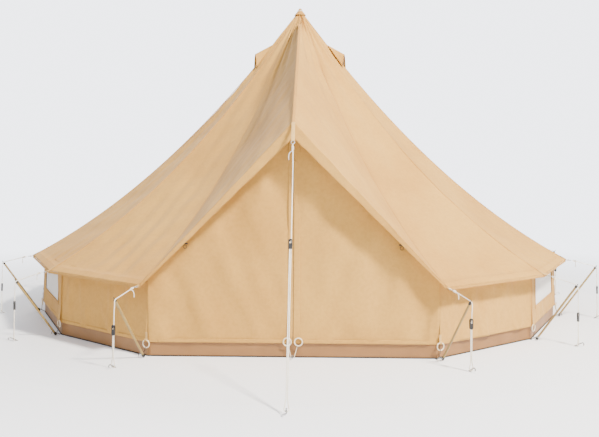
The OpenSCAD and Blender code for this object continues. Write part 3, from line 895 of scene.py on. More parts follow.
@dataclass
class Roof(Assembly):
    """The gores, their seams and the cap over the pole."""

    rows_down: int = 120
    cols: int = 44
    flap: float = 0.062

    def _relief(self, grid: Array, k: int, u: Array, s: Array) -> Array:
        """How far the cloth stands off its plain form, outwards.

        Args:
            grid: the plain points.
            k: gore number.
            u: shares down.
            s: shares across.
        Returns:
            One offset per point.
        """
        arch = 4 * s * (1 - s)
        belly = -0.016 * arch[None, :] * np.sin(math.pi * np.clip(u, 0, 1))[:, None]
        angle = (k + s)[None, :] * STEP
        r = u[:, None] * SHAPE.eave_r
        fold = 33 * angle + 2.2 * np.sin(5 * angle) + 0.8 * np.sin(r * 5)
        pleat = np.sin(fold) * np.exp(-((r / 1.0) ** 2)) * 0.017 * np.clip(r / 0.2, 0, 1)
        pleat *= 0.7 + 0.5 * np.sin(3 * angle + 1.0)
        edge = np.minimum(s, 1 - s)[None, :] * np.maximum(r, 0.05) * STEP
        pull = 0.006 * ripples(grid * [1, 1, 0.25], 11 + k, 0.24)
        soft = 0.007 * ripples(grid, 31 + k, 0.8, 5)
        quiet = np.clip(edge / 0.12, 0, 1) * np.clip((1 - u)[:, None] / 0.06, 0.15, 1)
        near = np.exp(-(((1 - u)[:, None] * SHAPE.eave_r) / 0.35) ** 2)
        fan = near * 0.006 * np.sin(s[None, :] * 34 + k) * arch[None, :]
        seam = 0.0012 * (edge < 0.011)
        flap = 0.0016 * ((1 - u)[:, None] * SHAPE.eave_r < self.flap) * np.ones_like(edge)
        seam = np.maximum(seam, flap)
        return belly + pleat + (pull + soft) * quiet + fan * quiet + seam

    def build(self) -> None:
        """Makes the gores."""
        u = np.concatenate(
            [
                np.linspace(0.012, 0.14, 28)[:-1],
                np.linspace(0.14, 0.97, self.rows_down - 34)[:-1],
                1 - self.flap / SHAPE.eave_r + np.array([-0.0004, 0.0002]),
                np.linspace(0.98, 1, 5),
            ]
        )
        band = 0.011
        for k in range(GORES):
            inner = np.linspace(0, 1, self.cols)
            s = np.unique(np.concatenate([inner, [band / 1.1, 1 - band / 1.1, 0.012, 0.988]]))
            grid = blend_grid(SHAPE.rib(k, u), SHAPE.rib(k + 1, u), s)
            gore = Cloth(
                f"roof_gore_{k + 1}", grid, offset=self._relief(grid, k, u, s)
            ).build()
            self.keep(gore, Finish.CANVAS)
            if k == 0:
                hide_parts("roof_canvas")

    def dress(self) -> None:
        """Adds the seams' felled strips, their stitches and the cap."""
        u = np.linspace(0.03, 1, 140)
        lines = []
        for k in range(GORES):
            rib = SHAPE.rib(k, u)
            a = k * STEP
            side = np.array([math.cos(a), math.sin(a), 0.0])
            half = 0.010 if k else 0.012
            wave = 0.0008 * ripples(rib, 70 + k, 0.12)[:, None] * side
            grid = blend_grid(
                rib - side * half + wave, rib + side * half + wave, np.linspace(0, 1, 6)
            )
            lift = np.tile(np.array([0.0006, 0.0026, 0.0034, 0.0034, 0.0026, 0.0006]), (140, 1))
            slope = 0.9 if k else 0.55
            drop = np.abs(np.linspace(-half, half, 6))[None, :] * 0.12 * slope
            strip = Cloth(f"roof_seam_{k + 1}", grid, CANVAS_T, offset=lift - drop).build()
            self.keep(strip, Finish.SEAM)
            up = np.array([math.sin(a), -math.cos(a), 1.2]) / 1.56 * 0.0036
            lines += [rib[4:] + side * f * half + up for f in (-0.72, 0.72)]
        for k in range(GORES):
            t = np.linspace(0, 1, 60)
            share = np.array([1 - (self.flap - 0.004) / SHAPE.eave_r])
            ends = [SHAPE.rib(j, share) + [0, 0, 0.0034] for j in (k, k + 1)]
            lines.append(blend_grid(ends[0], ends[1], t)[0])
        self.keep(
            self.rows.along("roof_seam_stitches", lines, Finish.THREAD, 0.011, 0.007, 0.0011),
            None,
        )
        self._cap()

    def _cap(self) -> None:
        """The pleated cap, its hem and the cord round its neck."""
        heights = [
            (0.0, 2.987), (0.008, 2.986), (0.014, 2.98), (0.019, 2.97), (0.024, 2.959),
            (0.03, 2.9515), (0.038, 2.9415), (0.047, 2.9305), (0.057, 2.9185),
        ]
        profile = resample(np.array([[r, 0, z] for r, z in heights]), 0.003)
        turns = np.linspace(0, 2 * math.pi, 169)
        r = profile[:, 0][:, None]
        z = profile[:, 2][:, None]
        fold = np.clip((r - 0.022) / 0.05, 0, 1)
        wave = np.sin(turns * 14 + 0.6 * np.sin(3 * turns))[None, :]
        rr = np.maximum(r + 0.003 * fold * wave, 0.0002)
        zz = z + 0.0015 * fold * wave
        grid = np.stack(
            np.broadcast_arrays(rr * np.sin(turns), -rr * np.cos(turns), zz), -1
        )
        cap = Cloth("apex_cap_cloth", grid, CAP_T).build()
        weld = bmesh.new()
        weld.from_mesh(cap.data)
        bmesh.ops.remove_doubles(weld, verts=weld.verts, dist=0.0001)
        bmesh.ops.recalc_face_normals(weld, faces=weld.faces)
        weld.to_mesh(cap.data)
        weld.free()
        self.keep(cap, Finish.CAP)
        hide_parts("apex_cap")
        hem = grid[-3] + [0, 0, 0.001]
        self.keep(
            self.rows.along("apex_cap_stitches", [hem], Finish.THREAD, 0.007, 0.0045, 0.0009),
            None,
        )
        neck = np.array(
            [
                [0.0245 * math.cos(t), 0.0245 * math.sin(t), 2.9585 + 0.0022 * t / 6.28]
                for t in np.linspace(0, 4 * math.pi, 90)
            ]
        )
        self.keep(sweep("apex_cap_cord", neck, 0.0021, 8, 3, 0.012), Finish.ROPE)


@dataclass
class Valance(Assembly):
    """The strip that hangs from the eaves, with its binding and stitches."""

    cols: int = 90

    def edge(self, k: int, t: Array) -> tuple[Array, Array]:
        """Top and bottom lines of strip k at shares t."""
        drops = [
            SHAPE.peak_valance if j % GORES == 0 else SHAPE.valance for j in (k, k + 1)
        ]
        ends = [
            SHAPE.rib(j, np.array([1.0]))[0] - [0, 0, SHAPE.roof_t] for j in (k, k + 1)
        ]
        top = blend_grid(ends[0][None], ends[1][None], t)[0]
        drop = (drops[0] * (1 - t) + drops[1] * t)[:, None] * [0, 0, 1]
        return top + [0, 0, 0.0035], top - drop

    def build(self) -> None:
        """Makes the strips."""
        t = np.linspace(0, 1, self.cols)
        stitches = []
        for k in range(GORES):
            top, low = self.edge(k, t)
            out = np.cross(top[-1] - top[0], [0, 0, 1.0])
            out /= np.linalg.norm(out)
            down = np.linspace(0, 1, 12)
            grid = blend_grid(top, low, down).transpose(1, 0, 2)
            hang = down[:, None] ** 1.3
            calm = np.sin(math.pi * t)[None, :] ** 0.5
            flutter = ripples(grid * [1, 1, 0.1], 200 + k, 0.26, 5) * 0.006
            small = ripples(grid * [1, 1, 0.2], 240 + k, 0.09, 5) * 0.0014
            bow = -0.012 * 4 * t * (1 - t)
            lift = 0.003 * ripples(grid, 260 + k, 0.3, 4)
            deep = np.linalg.norm(top - low, axis=1)
            free = np.clip(deep / 0.06, 0.2, 1.3)[None, :]
            offset = (flutter + small + 0.2 * bow[None, :]) * hang * calm * free
            grid = grid + out * (offset[..., None] + 0.0012)
            grid[..., 2] += np.abs(lift) * hang * calm * free
            strip = Cloth(f"valance_{k + 1}", grid, CANVAS_T).build()
            self.keep(strip, Finish.CANVAS)
            plain = area_of(blend_grid(top, low, down))
            if k == 0:
                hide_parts("eave_valance")
            low_line = grid[-1] + out * 0.0002
            self.keep(
                sweep(f"valance_binding_{k + 1}", resample(low_line, 0.02), 0.0017, 8),
                Finish.SEAM,
            )
            stitches += [grid[1] + out * 0.0004, grid[-2] + out * 0.0004]
        self.keep(
            self.rows.along("valance_stitches", stitches, Finish.THREAD, 0.011, 0.007, 0.0009),
            None,
        )


@dataclass
class Wall(Assembly):
    """The wall panels, windows and groundsheet."""

    windows: tuple[int, ...] = (2, 5, 8, 11)
    frame_lines: list[Array] = field(default_factory=list)

    def place(self, k: int) -> Callable[[Array], Array]:
        """Maps points on the wall between seams k and k + 1: X along, Y up, Z outwards."""
        lean = math.atan2(SHAPE.lean, SHAPE.wall_top)
        turn = Matrix.Rotation((k + 0.5) * STEP, 4, "Z") @ Matrix.Translation(
            (0, -SHAPE.wall_r * math.cos(STEP / 2), 0)
        )
        turn = turn @ Matrix.Rotation(math.pi / 2 - lean, 4, "X")
        m = np.array(turn)
        return lambda p: p @ m[:3, :3].T + m[:3, 3]

    def half(self, z: Array | float) -> Array | float:
        """Half width of a panel at height z."""
        return (SHAPE.wall_r - SHAPE.lean * z / SHAPE.wall_top) * math.sin(STEP / 2)

    def build(self) -> None:
        """Makes the panels."""
        for k in range(1, GORES - 1):
            window = k in self.windows
            self._panel(k, window)
            if window:
                self._window(k)
        self._nets_and_seams()
        self._groundsheet()

    def _panel(self, k: int, window: bool) -> None:
        """One wall panel, with its window left out."""
        z0, z1 = SHAPE.hem_z, SHAPE.wall_top
        hw = SHAPE.window_w / 2
        ups = np.linspace(z1, z0, 30)
        shares = np.linspace(-1, 1, 61)
        hole = None
        wide = float(self.half(0.35))
        if window:
            shares = np.unique(np.round(np.append(shares, [-hw / wide, hw / wide]), 6))
            ups = np.unique(np.round(np.append(ups, [SHAPE.sill, SHAPE.head]), 6))[::-1]
            hole = (
                int(np.argmin(abs(ups - SHAPE.head))),
                int(np.argmin(abs(ups - SHAPE.sill))),
                int(np.argmin(abs(shares + hw / wide))),
                int(np.argmin(abs(shares - hw / wide))),
            )
        x = shares[None, :] * wide
        side = np.abs(shares)[None, :] > hw / wide + 1e-6 if window else np.ones((1, len(shares)), bool)
        x = np.where(side, shares[None, :] * self.half(ups)[:, None], x)
        y = np.broadcast_to(ups[:, None], x.shape)
        flat = np.stack([x, y, np.full(x.shape, SHAPE.cloth_t)], -1)
        world = self.place(k)(flat)
        calm = np.clip((1 - np.abs(shares)) / 0.12, 0, 1)[None, :]
        drape = 0.013 * ripples(world * [1, 1, 0.35], 400 + k, 0.27) * calm
        drape += 0.007 * ripples(world * [1, 1, 0.4], 430 + k, 0.11) * calm
        if window:
            drape *= 0.45
        drape = np.where(drape > 0, drape, 0.003 * np.tanh(drape / 0.003)) + 0.001 * calm
        panel = Cloth(f"wall_panel_{k}", world, CANVAS_T, hole, drape).build()
        self.keep(panel, Finish.CANVAS)
        w, h = 2 * float(self.half(z0)), z1 - z0
        if k == 1:
            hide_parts("wall_canvas")

    def _window(self, k: int) -> None:
        """The window's frame of doubled cloth, its net and the lines for its stitches."""
        hw, z0, z1 = SHAPE.window_w / 2, SHAPE.sill, SHAPE.head
        put = self.place(k)
        band, level = 0.024, SHAPE.cloth_t + 0.0022
        strips = []
        for name, x0, x1, y0, y1 in (
            ("sill", -hw - band, hw + band, z0 - band, z0 + 0.002),
            ("head", -hw - band, hw + band, z1 - 0.002, z1 + band),
            ("left", -hw - band, -hw + 0.002, z0 - band, z1 + band),
            ("right", hw - 0.002, hw + band, z0 - band, z1 + band),
        ):
            nx = max(4, int((x1 - x0) / 0.012))
            ny = max(4, int((y1 - y0) / 0.012))
            gx, gy = np.meshgrid(np.linspace(x0, x1, nx), np.linspace(y1, y0, ny))
            grid = np.stack([gx, gy, np.full(gx.shape, level)], -1)
            grid[..., 2] += 0.0006 * ripples(grid, 500 + k, 0.05)
            strips.append(Cloth(f"window_{name}_{k}", put(grid), DOUBLE_T).build())
        self.keep(joined(f"window_frame_{k}", strips), Finish.SEAM)
        gx, gy = np.meshgrid(
            np.linspace(-hw - 0.014, hw + 0.014, 60), np.linspace(z1 + 0.014, z0 - 0.014, 24)
        )
        net = np.stack([gx, gy, np.full(gx.shape, -0.0005)], -1)
        net[..., 2] -= 0.003 * np.abs(np.sin(gx * 4.1 + k)) * np.sin((gy - z0) * 11.8) ** 2
        made = Cloth(f"window_net_{k}", put(net), NET_T).build()
        self.keep(made, Finish.NET)
        if k == self.windows[0]:
            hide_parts("mesh_nets")
        for inset in (0.005, band - 0.004):
            a, b = hw + inset, z0 - inset
            c = z1 + inset
            loop = np.array([[-a, b], [a, b], [a, c], [-a, c], [-a, b]])
            flat = np.column_stack([loop, np.full(5, level + 0.0008)])
            self.frame_lines.append(put(flat))

    def _nets_and_seams(self) -> None:
        """Corner seams, hems and stitches of the wall."""
        lines = list(self.frame_lines)
        for k in range(1, GORES - 1):
            put = self.place(k)
            w0 = float(self.half(SHAPE.hem_z))
            level = SHAPE.cloth_t + 0.0016
            for z in (SHAPE.hem_z + 0.006, SHAPE.hem_z + 0.022):
                lines.append(put(np.array([[-w0 + 0.01, z, level], [w0 - 0.01, z, level]])))
            gx, gy = np.meshgrid(
                np.linspace(-w0 + 0.002, w0 - 0.002, 80),
                np.linspace(SHAPE.hem_z + 0.027, SHAPE.hem_z, 5),
            )
            grid = np.stack([gx, gy, np.full(gx.shape, level)], -1)
            grid[..., 2] += 0.0007 * ripples(grid, 530 + k, 0.07)
            self.keep(Cloth(f"wall_hem_{k}", put(grid), CANVAS_T).build(), Finish.CANVAS)
        for k in CORNERS:
            mid = k * STEP
            low = radial(SHAPE.wall_r + 0.0035, k, SHAPE.hem_z)
            top = radial(SHAPE.wall_r - SHAPE.lean + 0.0035, k, SHAPE.wall_top - 0.004)
            way = np.array([math.cos(mid), math.sin(mid), 0.0])
            out = np.array([math.sin(mid), -math.cos(mid), 0.0])
            line = np.linspace(tuple(low), tuple(top), 24)[::-1]
            shares = np.linspace(-1, 1, 7)
            grid = line[:, None, :] + shares[None, :, None] * 0.014 * way
            grid = grid - (np.abs(shares) * 0.014 * math.tan(STEP / 2))[None, :, None] * out
            if k in (1, GORES - 1):
                continue
            self.keep(Cloth(f"wall_seam_{k}", grid, CANVAS_T).build(), Finish.SEAM)
            lines += [line + f * 0.009 * way - 0.0016 * out for f in (-1, 1)]
        self.keep(
            self.rows.along("wall_stitches", lines, Finish.THREAD, 0.012, 0.0075, 0.0009),
            None,
        )

    def _groundsheet(self) -> None:
        """The floor, its upstand and the welded edge at the ground, coloured near-black as painted
        contact shadow.
        """
        r = SHAPE.base_r
        corners = [radial(r - 0.001, k, 0.0029) for k in CORNERS]
        rings = []
        for share in np.linspace(1, 0.0, 40):
            ring = []
            for i, a in enumerate(corners):
                b = corners[(i + 1) % len(corners)]
                for t in np.linspace(0, 1, 10)[:-1]:
                    p = a.lerp(b, t)
                    ring.append([p.x * share, p.y * share, 0.0029])
            rings.append(ring)
        grid = np.array(rings)
        grid = np.concatenate([grid, grid[:, :1]], 1)
        inside = (np.linspace(1, 0, 40) < 0.995)[:, None]
        grid[..., 2] -= 0.0009 * (1 + ripples(grid, 610, 0.4)) * inside
        floor = Cloth("groundsheet_floor", grid[::-1], FLOOR_T).build()
        self._weld(floor)
        self.keep(floor, Finish.GROUNDSHEET)
        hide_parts("groundsheet")
        order = list(CORNERS)
        edge_lines = []
        for i, k in enumerate(order):
            other = order[(i + 1) % len(order)]
            a, b = radial(r, k, 0), radial(r, other, 0)
            t = np.linspace(0, 1, 90)
            along = np.array([tuple(a.lerp(b, x)) for x in t])
            way = np.array(tuple(b - a)) / (b - a).length
            out = np.cross(way, [0, 0, 1.0])
            z = np.array([0.1245, 0.118, 0.108, 0.095, 0.08, 0.06, 0.04, 0.025, 0.012, 0.004, 0.0005])
            grid = along[None, :, :] + z[:, None, None] * np.array([0, 0, 1.0])
            calm = np.clip(np.minimum(t, 1 - t) / 0.04, 0, 1)[None, :]
            shape = 0.0022 * ripples(grid * [1, 1, 0.5], 620 + k, 0.17) * calm
            high = np.sin(math.pi * np.clip(z / SHAPE.tray_h, 0, 1))[:, None]
            grid = grid + out * (np.minimum(shape * high, 0.0))[..., None]
            band = Cloth(f"groundsheet_band_{i + 1}", grid, BAND_T).build()
            self.keep(band, Finish.GROUNDSHEET)
            edge_lines.append(along + out * 0.0015 + np.array([0, 0, 0.0047]))
        # The near-black welt along the ground line is painted contact shadow.
        for i, line in enumerate(edge_lines):
            welt = sweep(f"groundsheet_welt_{i + 1}", resample(line, 0.05), 0.0045, 8)
            self.keep(welt, Finish.GROUND_SHADOW_EDGE)

    @staticmethod
    def _weld(obj: bpy.types.Object) -> None:
        """Joins points that lie on each other and turns the faces outwards."""
        work = bmesh.new()
        work.from_mesh(obj.data)
        bmesh.ops.remove_doubles(work, verts=work.verts, dist=0.00005)
        bmesh.ops.recalc_face_normals(work, faces=work.faces)
        work.to_mesh(obj.data)
        work.free()


@dataclass
class Vents(Assembly):
    """Three hooded vents near the top."""

    seams: tuple[int, ...] = (3, 7, 11)

    def build(self) -> None:
        """Makes the hoods, their wires and nets."""
        first = True
        for k in self.seams:
            a = k * STEP
            out = np.array([math.sin(a), -math.cos(a), 0.0])
            way = np.array([math.cos(a), math.sin(a), 0.0])
            up = np.array([0, 0, 1.0])
            top_z = float(SHAPE.seam_z(SHAPE.hood_top_r / SHAPE.eave_r)) + 0.012
            top = out * SHAPE.hood_top_r + up * top_z
            lip = out * SHAPE.hood_r + up * (
                float(SHAPE.seam_z(SHAPE.hood_r / SHAPE.eave_r)) + SHAPE.hood_h
            )
            foot_z = float(SHAPE.seam_z(SHAPE.hood_r * 1.04 / SHAPE.eave_r)) + 0.012
            feet = [
                out * SHAPE.hood_r + side * way * SHAPE.hood_half + up * foot_z
                for side in (-1, 1)
            ]
            t = np.linspace(0.0, 1, 26)
            s = np.linspace(0, 1, 31)
            crown = 2 * lip - (feet[0] + feet[1]) / 2
            arch = np.array(
                [
                    feet[0] * (1 - x) ** 2 + crown * 2 * x * (1 - x) + feet[1] * x**2
                    for x in s
                ]
            )
            start = top[None] + (s - 0.5)[:, None] * way * 0.02
            grid = start[None] * (1 - t)[:, None, None] + arch[None] * t[:, None, None]
            sagged = 0.005 * np.sin(math.pi * t)[:, None] * np.sin(2 * math.pi * s)[None, :] ** 2
            hood = Cloth(f"vent_hood_{k}", grid, DOUBLE_T, offset=-sagged).build()
            self._outwards(hood)
            self.keep(hood, Finish.CANVAS)
            wire = sweep(f"vent_wire_{k}", resample(arch - out * 0.003, 0.006), 0.003, 8)
            self.keep(wire, Finish.SEAM)
            centre = (feet[0] + feet[1]) / 2
            inner = arch * 0.86 + centre * 0.14 - out * 0.014
            base = np.array([feet[0] * (1 - x) + feet[1] * x for x in s])
            base = base * 0.86 + centre * 0.14 - out * 0.014
            mesh = blend_grid(inner, base, np.linspace(0, 1, 8)).transpose(1, 0, 2)
            net = Cloth(f"vent_net_{k}", mesh, NET_T).build()
            # The net's dark colour is painted shade of the hollow under the hood.
            self.keep(net, Finish.VENT_NET)
            if first:
                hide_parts("vent_hoods")
                first = False
            hem = [grid[:, 1] + up * 0.001, grid[:, -2] + up * 0.001, grid[-3]]
            self.keep(
                self.rows.along(f"vent_stitches_{k}", hem, Finish.THREAD, 0.009, 0.006, 0.0009),
                None,
            )

    @staticmethod
    def _outwards(obj: bpy.types.Object) -> None:
        """Turns the faces outwards."""
        work = bmesh.new()
        work.from_mesh(obj.data)
        bmesh.ops.recalc_face_normals(work, faces=work.faces)
        work.to_mesh(obj.data)
        work.free()


@dataclass
class Door(Assembly):
    """One half of the front: fixed panel and leaf in one cloth, and what is sewn to it."""

    side: Side = Side.RIGHT

    @property
    def body(self) -> str:
        """The leaf's body."""
        return "door_right" if self.side is Side.RIGHT else "door_left"

    @property
    def tag(self) -> str:
        """The side's name."""
        return self.side.name.lower()

    def top(self, x: Array) -> Array:
        """Height of the front's top edge."""
        share = x / SHAPE.corner_x
        return SHAPE.front_top * (1 - share) + SHAPE.front_side * share

    def build(self) -> None:
        """Makes the cloth."""
        f = self.side.value
        xs = np.linspace(0.002, SHAPE.corner_x, 84)
        rows = np.linspace(0, 1, 110)
        z = self.top(xs)[None, :] * (1 - rows)[:, None] + SHAPE.hem_z * rows[:, None]
        x = np.broadcast_to(xs[None, :] * f, z.shape)
        y = np.full(z.shape, -SHAPE.front_face)
        grid = np.stack([x, y, z], -1)
        if f < 0:
            grid = grid[:, ::-1]
        calm = np.clip((np.abs(grid[..., 0]) - 0.002) / 0.07, 0.1, 1)
        calm *= np.clip((grid[..., 2] - SHAPE.hem_z) / 0.05, 0.25, 1)
        seed = 700 + f
        folds = 0.014 * ripples(grid * [1, 1, 0.3], seed, 0.34, 6)
        folds += 0.006 * ripples(grid * [1, 1, 0.4], seed + 9, 0.12, 6)
        slack = 0.005 * ripples(grid * [0.4, 1, 1], seed + 20, 0.5, 4)
        offset = 0.014 * np.tanh((folds + slack) * calm / 0.014) - 0.0002
        cloth = Cloth(f"front_cloth_{self.tag}", grid, CANVAS_T, offset=offset).build()
        self.palette.paint(cloth, Finish.CANVAS)
        width = SHAPE.corner_x
        height = SHAPE.front_top - SHAPE.hem_z
        area = width * (SHAPE.front_top + SHAPE.front_side - 2 * SHAPE.hem_z) / 2
        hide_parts(self.body)
        if self.side is Side.RIGHT:
            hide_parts("front_panels")
        u = np.array([-SHAPE.leaf_half * f, SHAPE.leaf_top - SHAPE.hem_z])
        u /= np.linalg.norm(u)
        across = np.array([-f * u[1], f * u[0]])
        if across[0] * f > 0:
            across = -across
        self.body
        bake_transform(cloth)
        self.made.append(cloth)

    def dress(self) -> None:
        """Adds the flap, the zip's tape and teeth, the hem and the stitches."""
        f = self.side.value
        wide = 0.05 if self.side is Side.RIGHT else 0.038
        face = SHAPE.front_face
        slope = (SHAPE.leaf_top - SHAPE.hem_z) / SHAPE.leaf_half
        zs = np.linspace(SHAPE.leaf_top - 0.034, SHAPE.hem_z + 0.004, 120)
        reach = (SHAPE.leaf_top - zs) / slope - 0.016
        grid = self._band(f, zs, np.full(zs.shape, 0.0016), np.minimum(reach, wide))
        flap = Cloth(f"storm_flap_{self.tag}", grid, CANVAS_T).build()
        self.keep(flap, Finish.CANVAS, self.body)
        high = np.linspace(SHAPE.front_top - 0.12, SHAPE.leaf_top - wide * slope - 0.004, 24)
        inner = np.maximum((SHAPE.leaf_top - high) / slope + 0.005, 0.0005)
        above = self._band(f, high, inner, np.maximum(inner + 0.0006, wide))
        self.keep(Cloth(f"placket_{self.tag}", above, CANVAS_T).build(), Finish.CANVAS)
        edge = [
            grid[6:, 1] + [0, -0.0006, 0],
            grid[6:, -2] + [0, -0.0006, 0],
        ]
        tape_top = SHAPE.leaf_top - slope * 0.013 - 0.02
        tz = np.linspace(tape_top, 0.133, 60)
        tx = np.linspace(0.0016, 0.0145, 4)
        if f < 0:
            tx = -tx[::-1]
        gx, gz = np.meshgrid(tx, tz)
        tape = np.stack([gx, np.full(gx.shape, -(SHAPE.front_y - 0.0032) - 0.0011), gz], -1)
        made = Cloth(f"zip_tape_{self.tag}_cloth", tape, TAPE_T).build()
        self.keep(made, Finish.ZIP_TAPE, self.body)
        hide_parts(f"zip_tape_{self.tag}")
        teeth = np.array([[0.0013 * f, -(SHAPE.front_y - 0.0032) - 0.0004, z] for z in tz])
        self.keep(
            self.rows.along(f"zip_teeth_{self.tag}", [teeth], Finish.ZIP, 0.0042, 0.0022, 0.0021),
            None,
            self.body,
        )
        self.keep(
            self.rows.along(f"door_stitches_{self.tag}", edge, Finish.THREAD, 0.011, 0.007, 0.0008),
            None,
            self.body,
        )
        self._hem(f, face)

    @staticmethod
    def _band(f: int, zs: Array, inner: Array, outer: Array) -> Array:
        """A grid of an upright band in front of the door's cloth.

        Args:
            f: the side's factor on X.
            zs: heights, from the top.
            inner: distance of the inner edge from the middle at each height.
            outer: the same for the outer edge.
        Returns:
            The grid, seen from the front.
        """
        share = np.linspace(0, 1, 8)[None, :]
        gx = inner[:, None] * (1 - share) + outer[:, None] * share
        calm = share * np.ones_like(gx)
        gz = np.broadcast_to(zs[:, None], gx.shape)
        grid = np.stack([gx * f, np.full(gx.shape, -SHAPE.front_face - 0.0034), gz], -1)
        grid[..., 1] -= 0.0034 * np.abs(ripples(grid * [1, 1, 0.7], 760 + f, 0.25, 4)) * calm
        return grid[:, ::-1] if f < 0 else grid

    def _hem(self, f: int, face: float) -> None:
        """The leaf's lower hem, which rides the leaf up to the hinge."""
        xs = np.linspace(0.052, SHAPE.leaf_half - 0.03, 90)
        if f < 0:
            xs = -xs[::-1]
        gx, gz = np.meshgrid(xs, np.linspace(SHAPE.hem_z + 0.03, SHAPE.hem_z + 0.001, 5))
        grid = np.stack([gx, np.full(gx.shape, -face - 0.0045), gz], -1)
        grid[..., 1] -= 0.0016 * ripples(grid, 790 + f, 0.1, 5)
        hem = Cloth(f"door_hem_{self.tag}", grid, CANVAS_T).build()
        self.keep(hem, Finish.CANVAS, self.body)


@dataclass
class Corners(Assembly):
    """Rings, webbing and elastics at each corner, and the eave rings that hold the ropes."""

    ring_r: float = 0.029
    ring_d: float = 0.009
    ring_out: float = 0.022
    low_z: float = 0.098

    def build(self) -> None:
        """Makes the rings and their webbing."""
        rings, loops = [], []
        for k in CORNERS:
            a = k * STEP
            out = Vector((math.sin(a), -math.cos(a), 0))
            rings.append(
                torus(
                    f"r{k}", radial(SHAPE.base_r + self.ring_out, k, self.low_z), out,
                    self.ring_r, self.ring_d,
                )
            )
            loops.append(self._loop(k))
            self._elastic(k)
        made = joined("corner_rings_cream", rings)
        self.keep(made, Finish.CREAM)
        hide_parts("corner_rings")
        self.keep(joined("corner_ring_webbing", loops), Finish.WEBBING)
        self._eaves()

    def _loop(self, k: int) -> bpy.types.Object:
        """The webbing that holds a corner ring to the hem."""
        r = SHAPE.wall_r + 0.005
        top = self.low_z + self.ring_r
        route = np.array(
            [
                tuple(radial(r + x, k, z))
                for x, z in (
                    (0.0, 0.185), (0.0005, 0.165), (0.0015, 0.145), (0.004, top + 0.006),
                    (0.0085, top + 0.0068), (0.0125, top + 0.003), (0.0135, top - 0.004),
                    (0.0095, top - 0.0075), (0.0045, top - 0.0062), (0.0028, top - 0.001),
                )
            ]
        )
        line = resample(route, 0.003)
        a = k * STEP
        way = np.array([math.cos(a), math.sin(a), 0.0]) * 0.010
        grid = blend_grid(line - way, line + way, np.linspace(0, 1, 6))
        return Cloth(f"webbing_{k}", grid, WEBBING_T).build()

    def _elastic(self, k: int) -> None:
        """The dark elastic from a corner ring round its peg."""
        r = SHAPE.base_r
        low = self.low_z - self.ring_r
        route = np.array(
            [
                tuple(radial(r + out, k, z, side))
                for out, side, z in (
                    (0.0275, -0.002, low + 0.006), (0.0285, -0.0035, low - 0.006),
                    (0.029, -0.007, low - 0.018), (0.0305, -0.013, 0.04),
                    (0.0325, -0.0185, 0.03), (0.0345, -0.0235, 0.0235),
                )
            ]
        )
        line = resample(route, 0.004)
        cord = sweep(f"ring_elastic_{k}", line, 0.0022, 8, 3, 0.009)
        self.keep(cord, Finish.ELASTIC)
        if k == 1:
            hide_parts("ring_elastics")

    def _eaves(self) -> None:
        """Webbing tabs and metal rings at the eave corners and the door's peak."""
        tabs, rings, lines = [], [], []
        for k in CORNERS:
            a = k * STEP
            way = np.array([math.cos(a), math.sin(a), 0.0])
            first = 0.0035 if k in (1, GORES - 1) else -0.055
            route = []
            for x in np.linspace(first, 0.0, 7):
                u = 1 + min(x, 0) / SHAPE.eave_r
                route.append([SHAPE.eave_r + x, float(SHAPE.seam_z(u)) + 0.0052])
            route += [
                [SHAPE.eave_r + 0.009, SHAPE.eave_h + 0.001],
                [SHAPE.eave_r + 0.017, SHAPE.eave_h - 0.0015],
                [SHAPE.eave_r + 0.0225, SHAPE.eave_h - 0.0035],
                [SHAPE.eave_r + 0.0242, SHAPE.eave_h - 0.0075],
                [SHAPE.eave_r + 0.021, SHAPE.eave_h - 0.0108],
                [SHAPE.eave_r + 0.012, SHAPE.eave_h - 0.0098],
                [SHAPE.eave_r + 0.005, SHAPE.eave_h - 0.0078],
            ]
            line = resample(np.array([tuple(radial(r, k, z)) for r, z in route]), 0.003)
            grid = blend_grid(line - way * 0.0125, line + way * 0.0125, np.linspace(0, 1, 7))
            tabs.append(Cloth(f"tab_{k}", grid, WEBBING_T).build())
            centre = radial(SHAPE.eave_r + 0.034, k, SHAPE.eave_h - 0.0065)
            normal = Vector((math.sin(a) * 0.17, -math.cos(a) * 0.17, 0.985))
            rings.append(torus(f"e{k}", centre, normal, 0.013, 0.0045))
            if k not in (1, GORES - 1):
                path = line[2:16] + [0, 0, 0.0006]
                lines += [path + way * x for x in (-0.009, 0.009)]
        self._peak_tab(tabs, rings)
        tab = joined("eave_tabs", tabs)
        self.keep(tab, Finish.WEBBING)
        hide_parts("eave_rings")
        self.keep(joined("eave_metal_rings", rings), Finish.STEEL)
        self.keep(
            self.rows.along("tab_stitches", lines, Finish.THREAD, 0.005, 0.003, 0.0009),
            None,
        )

    def _peak_tab(
        self, tabs: list[bpy.types.Object], rings: list[bpy.types.Object]
    ) -> None:
        """The long tab over the door's peak and its ring."""
        r, z = SHAPE.door_peak_r, SHAPE.door_peak_h
        turn = math.radians(53)
        start = np.array([0, -r - 0.006, z])
        way = np.array([0, -math.cos(turn), -math.sin(turn)])
        up = np.array([0, -math.sin(turn), math.cos(turn)])
        route = [
            start + way * x + up * h
            for x, h in (
                (0.0, 0.0015), (0.03, 0.0012), (0.08, 0.001), (0.13, 0.001), (0.165, 0.001),
                (0.1705, -0.0012), (0.1685, -0.0055), (0.15, -0.006),
            )
        ]
        line = resample(np.array(route), 0.004)
        side = np.array([0.013, 0, 0])
        grid = blend_grid(line - side, line + side, np.linspace(0, 1, 7))
        tabs.append(Cloth("tab_0", grid, WEBBING_T).build())
        centre = start + way * (0.165 + 0.018)
        rings.append(torus("e0", Vector(centre), Vector(up), 0.013, 0.005))


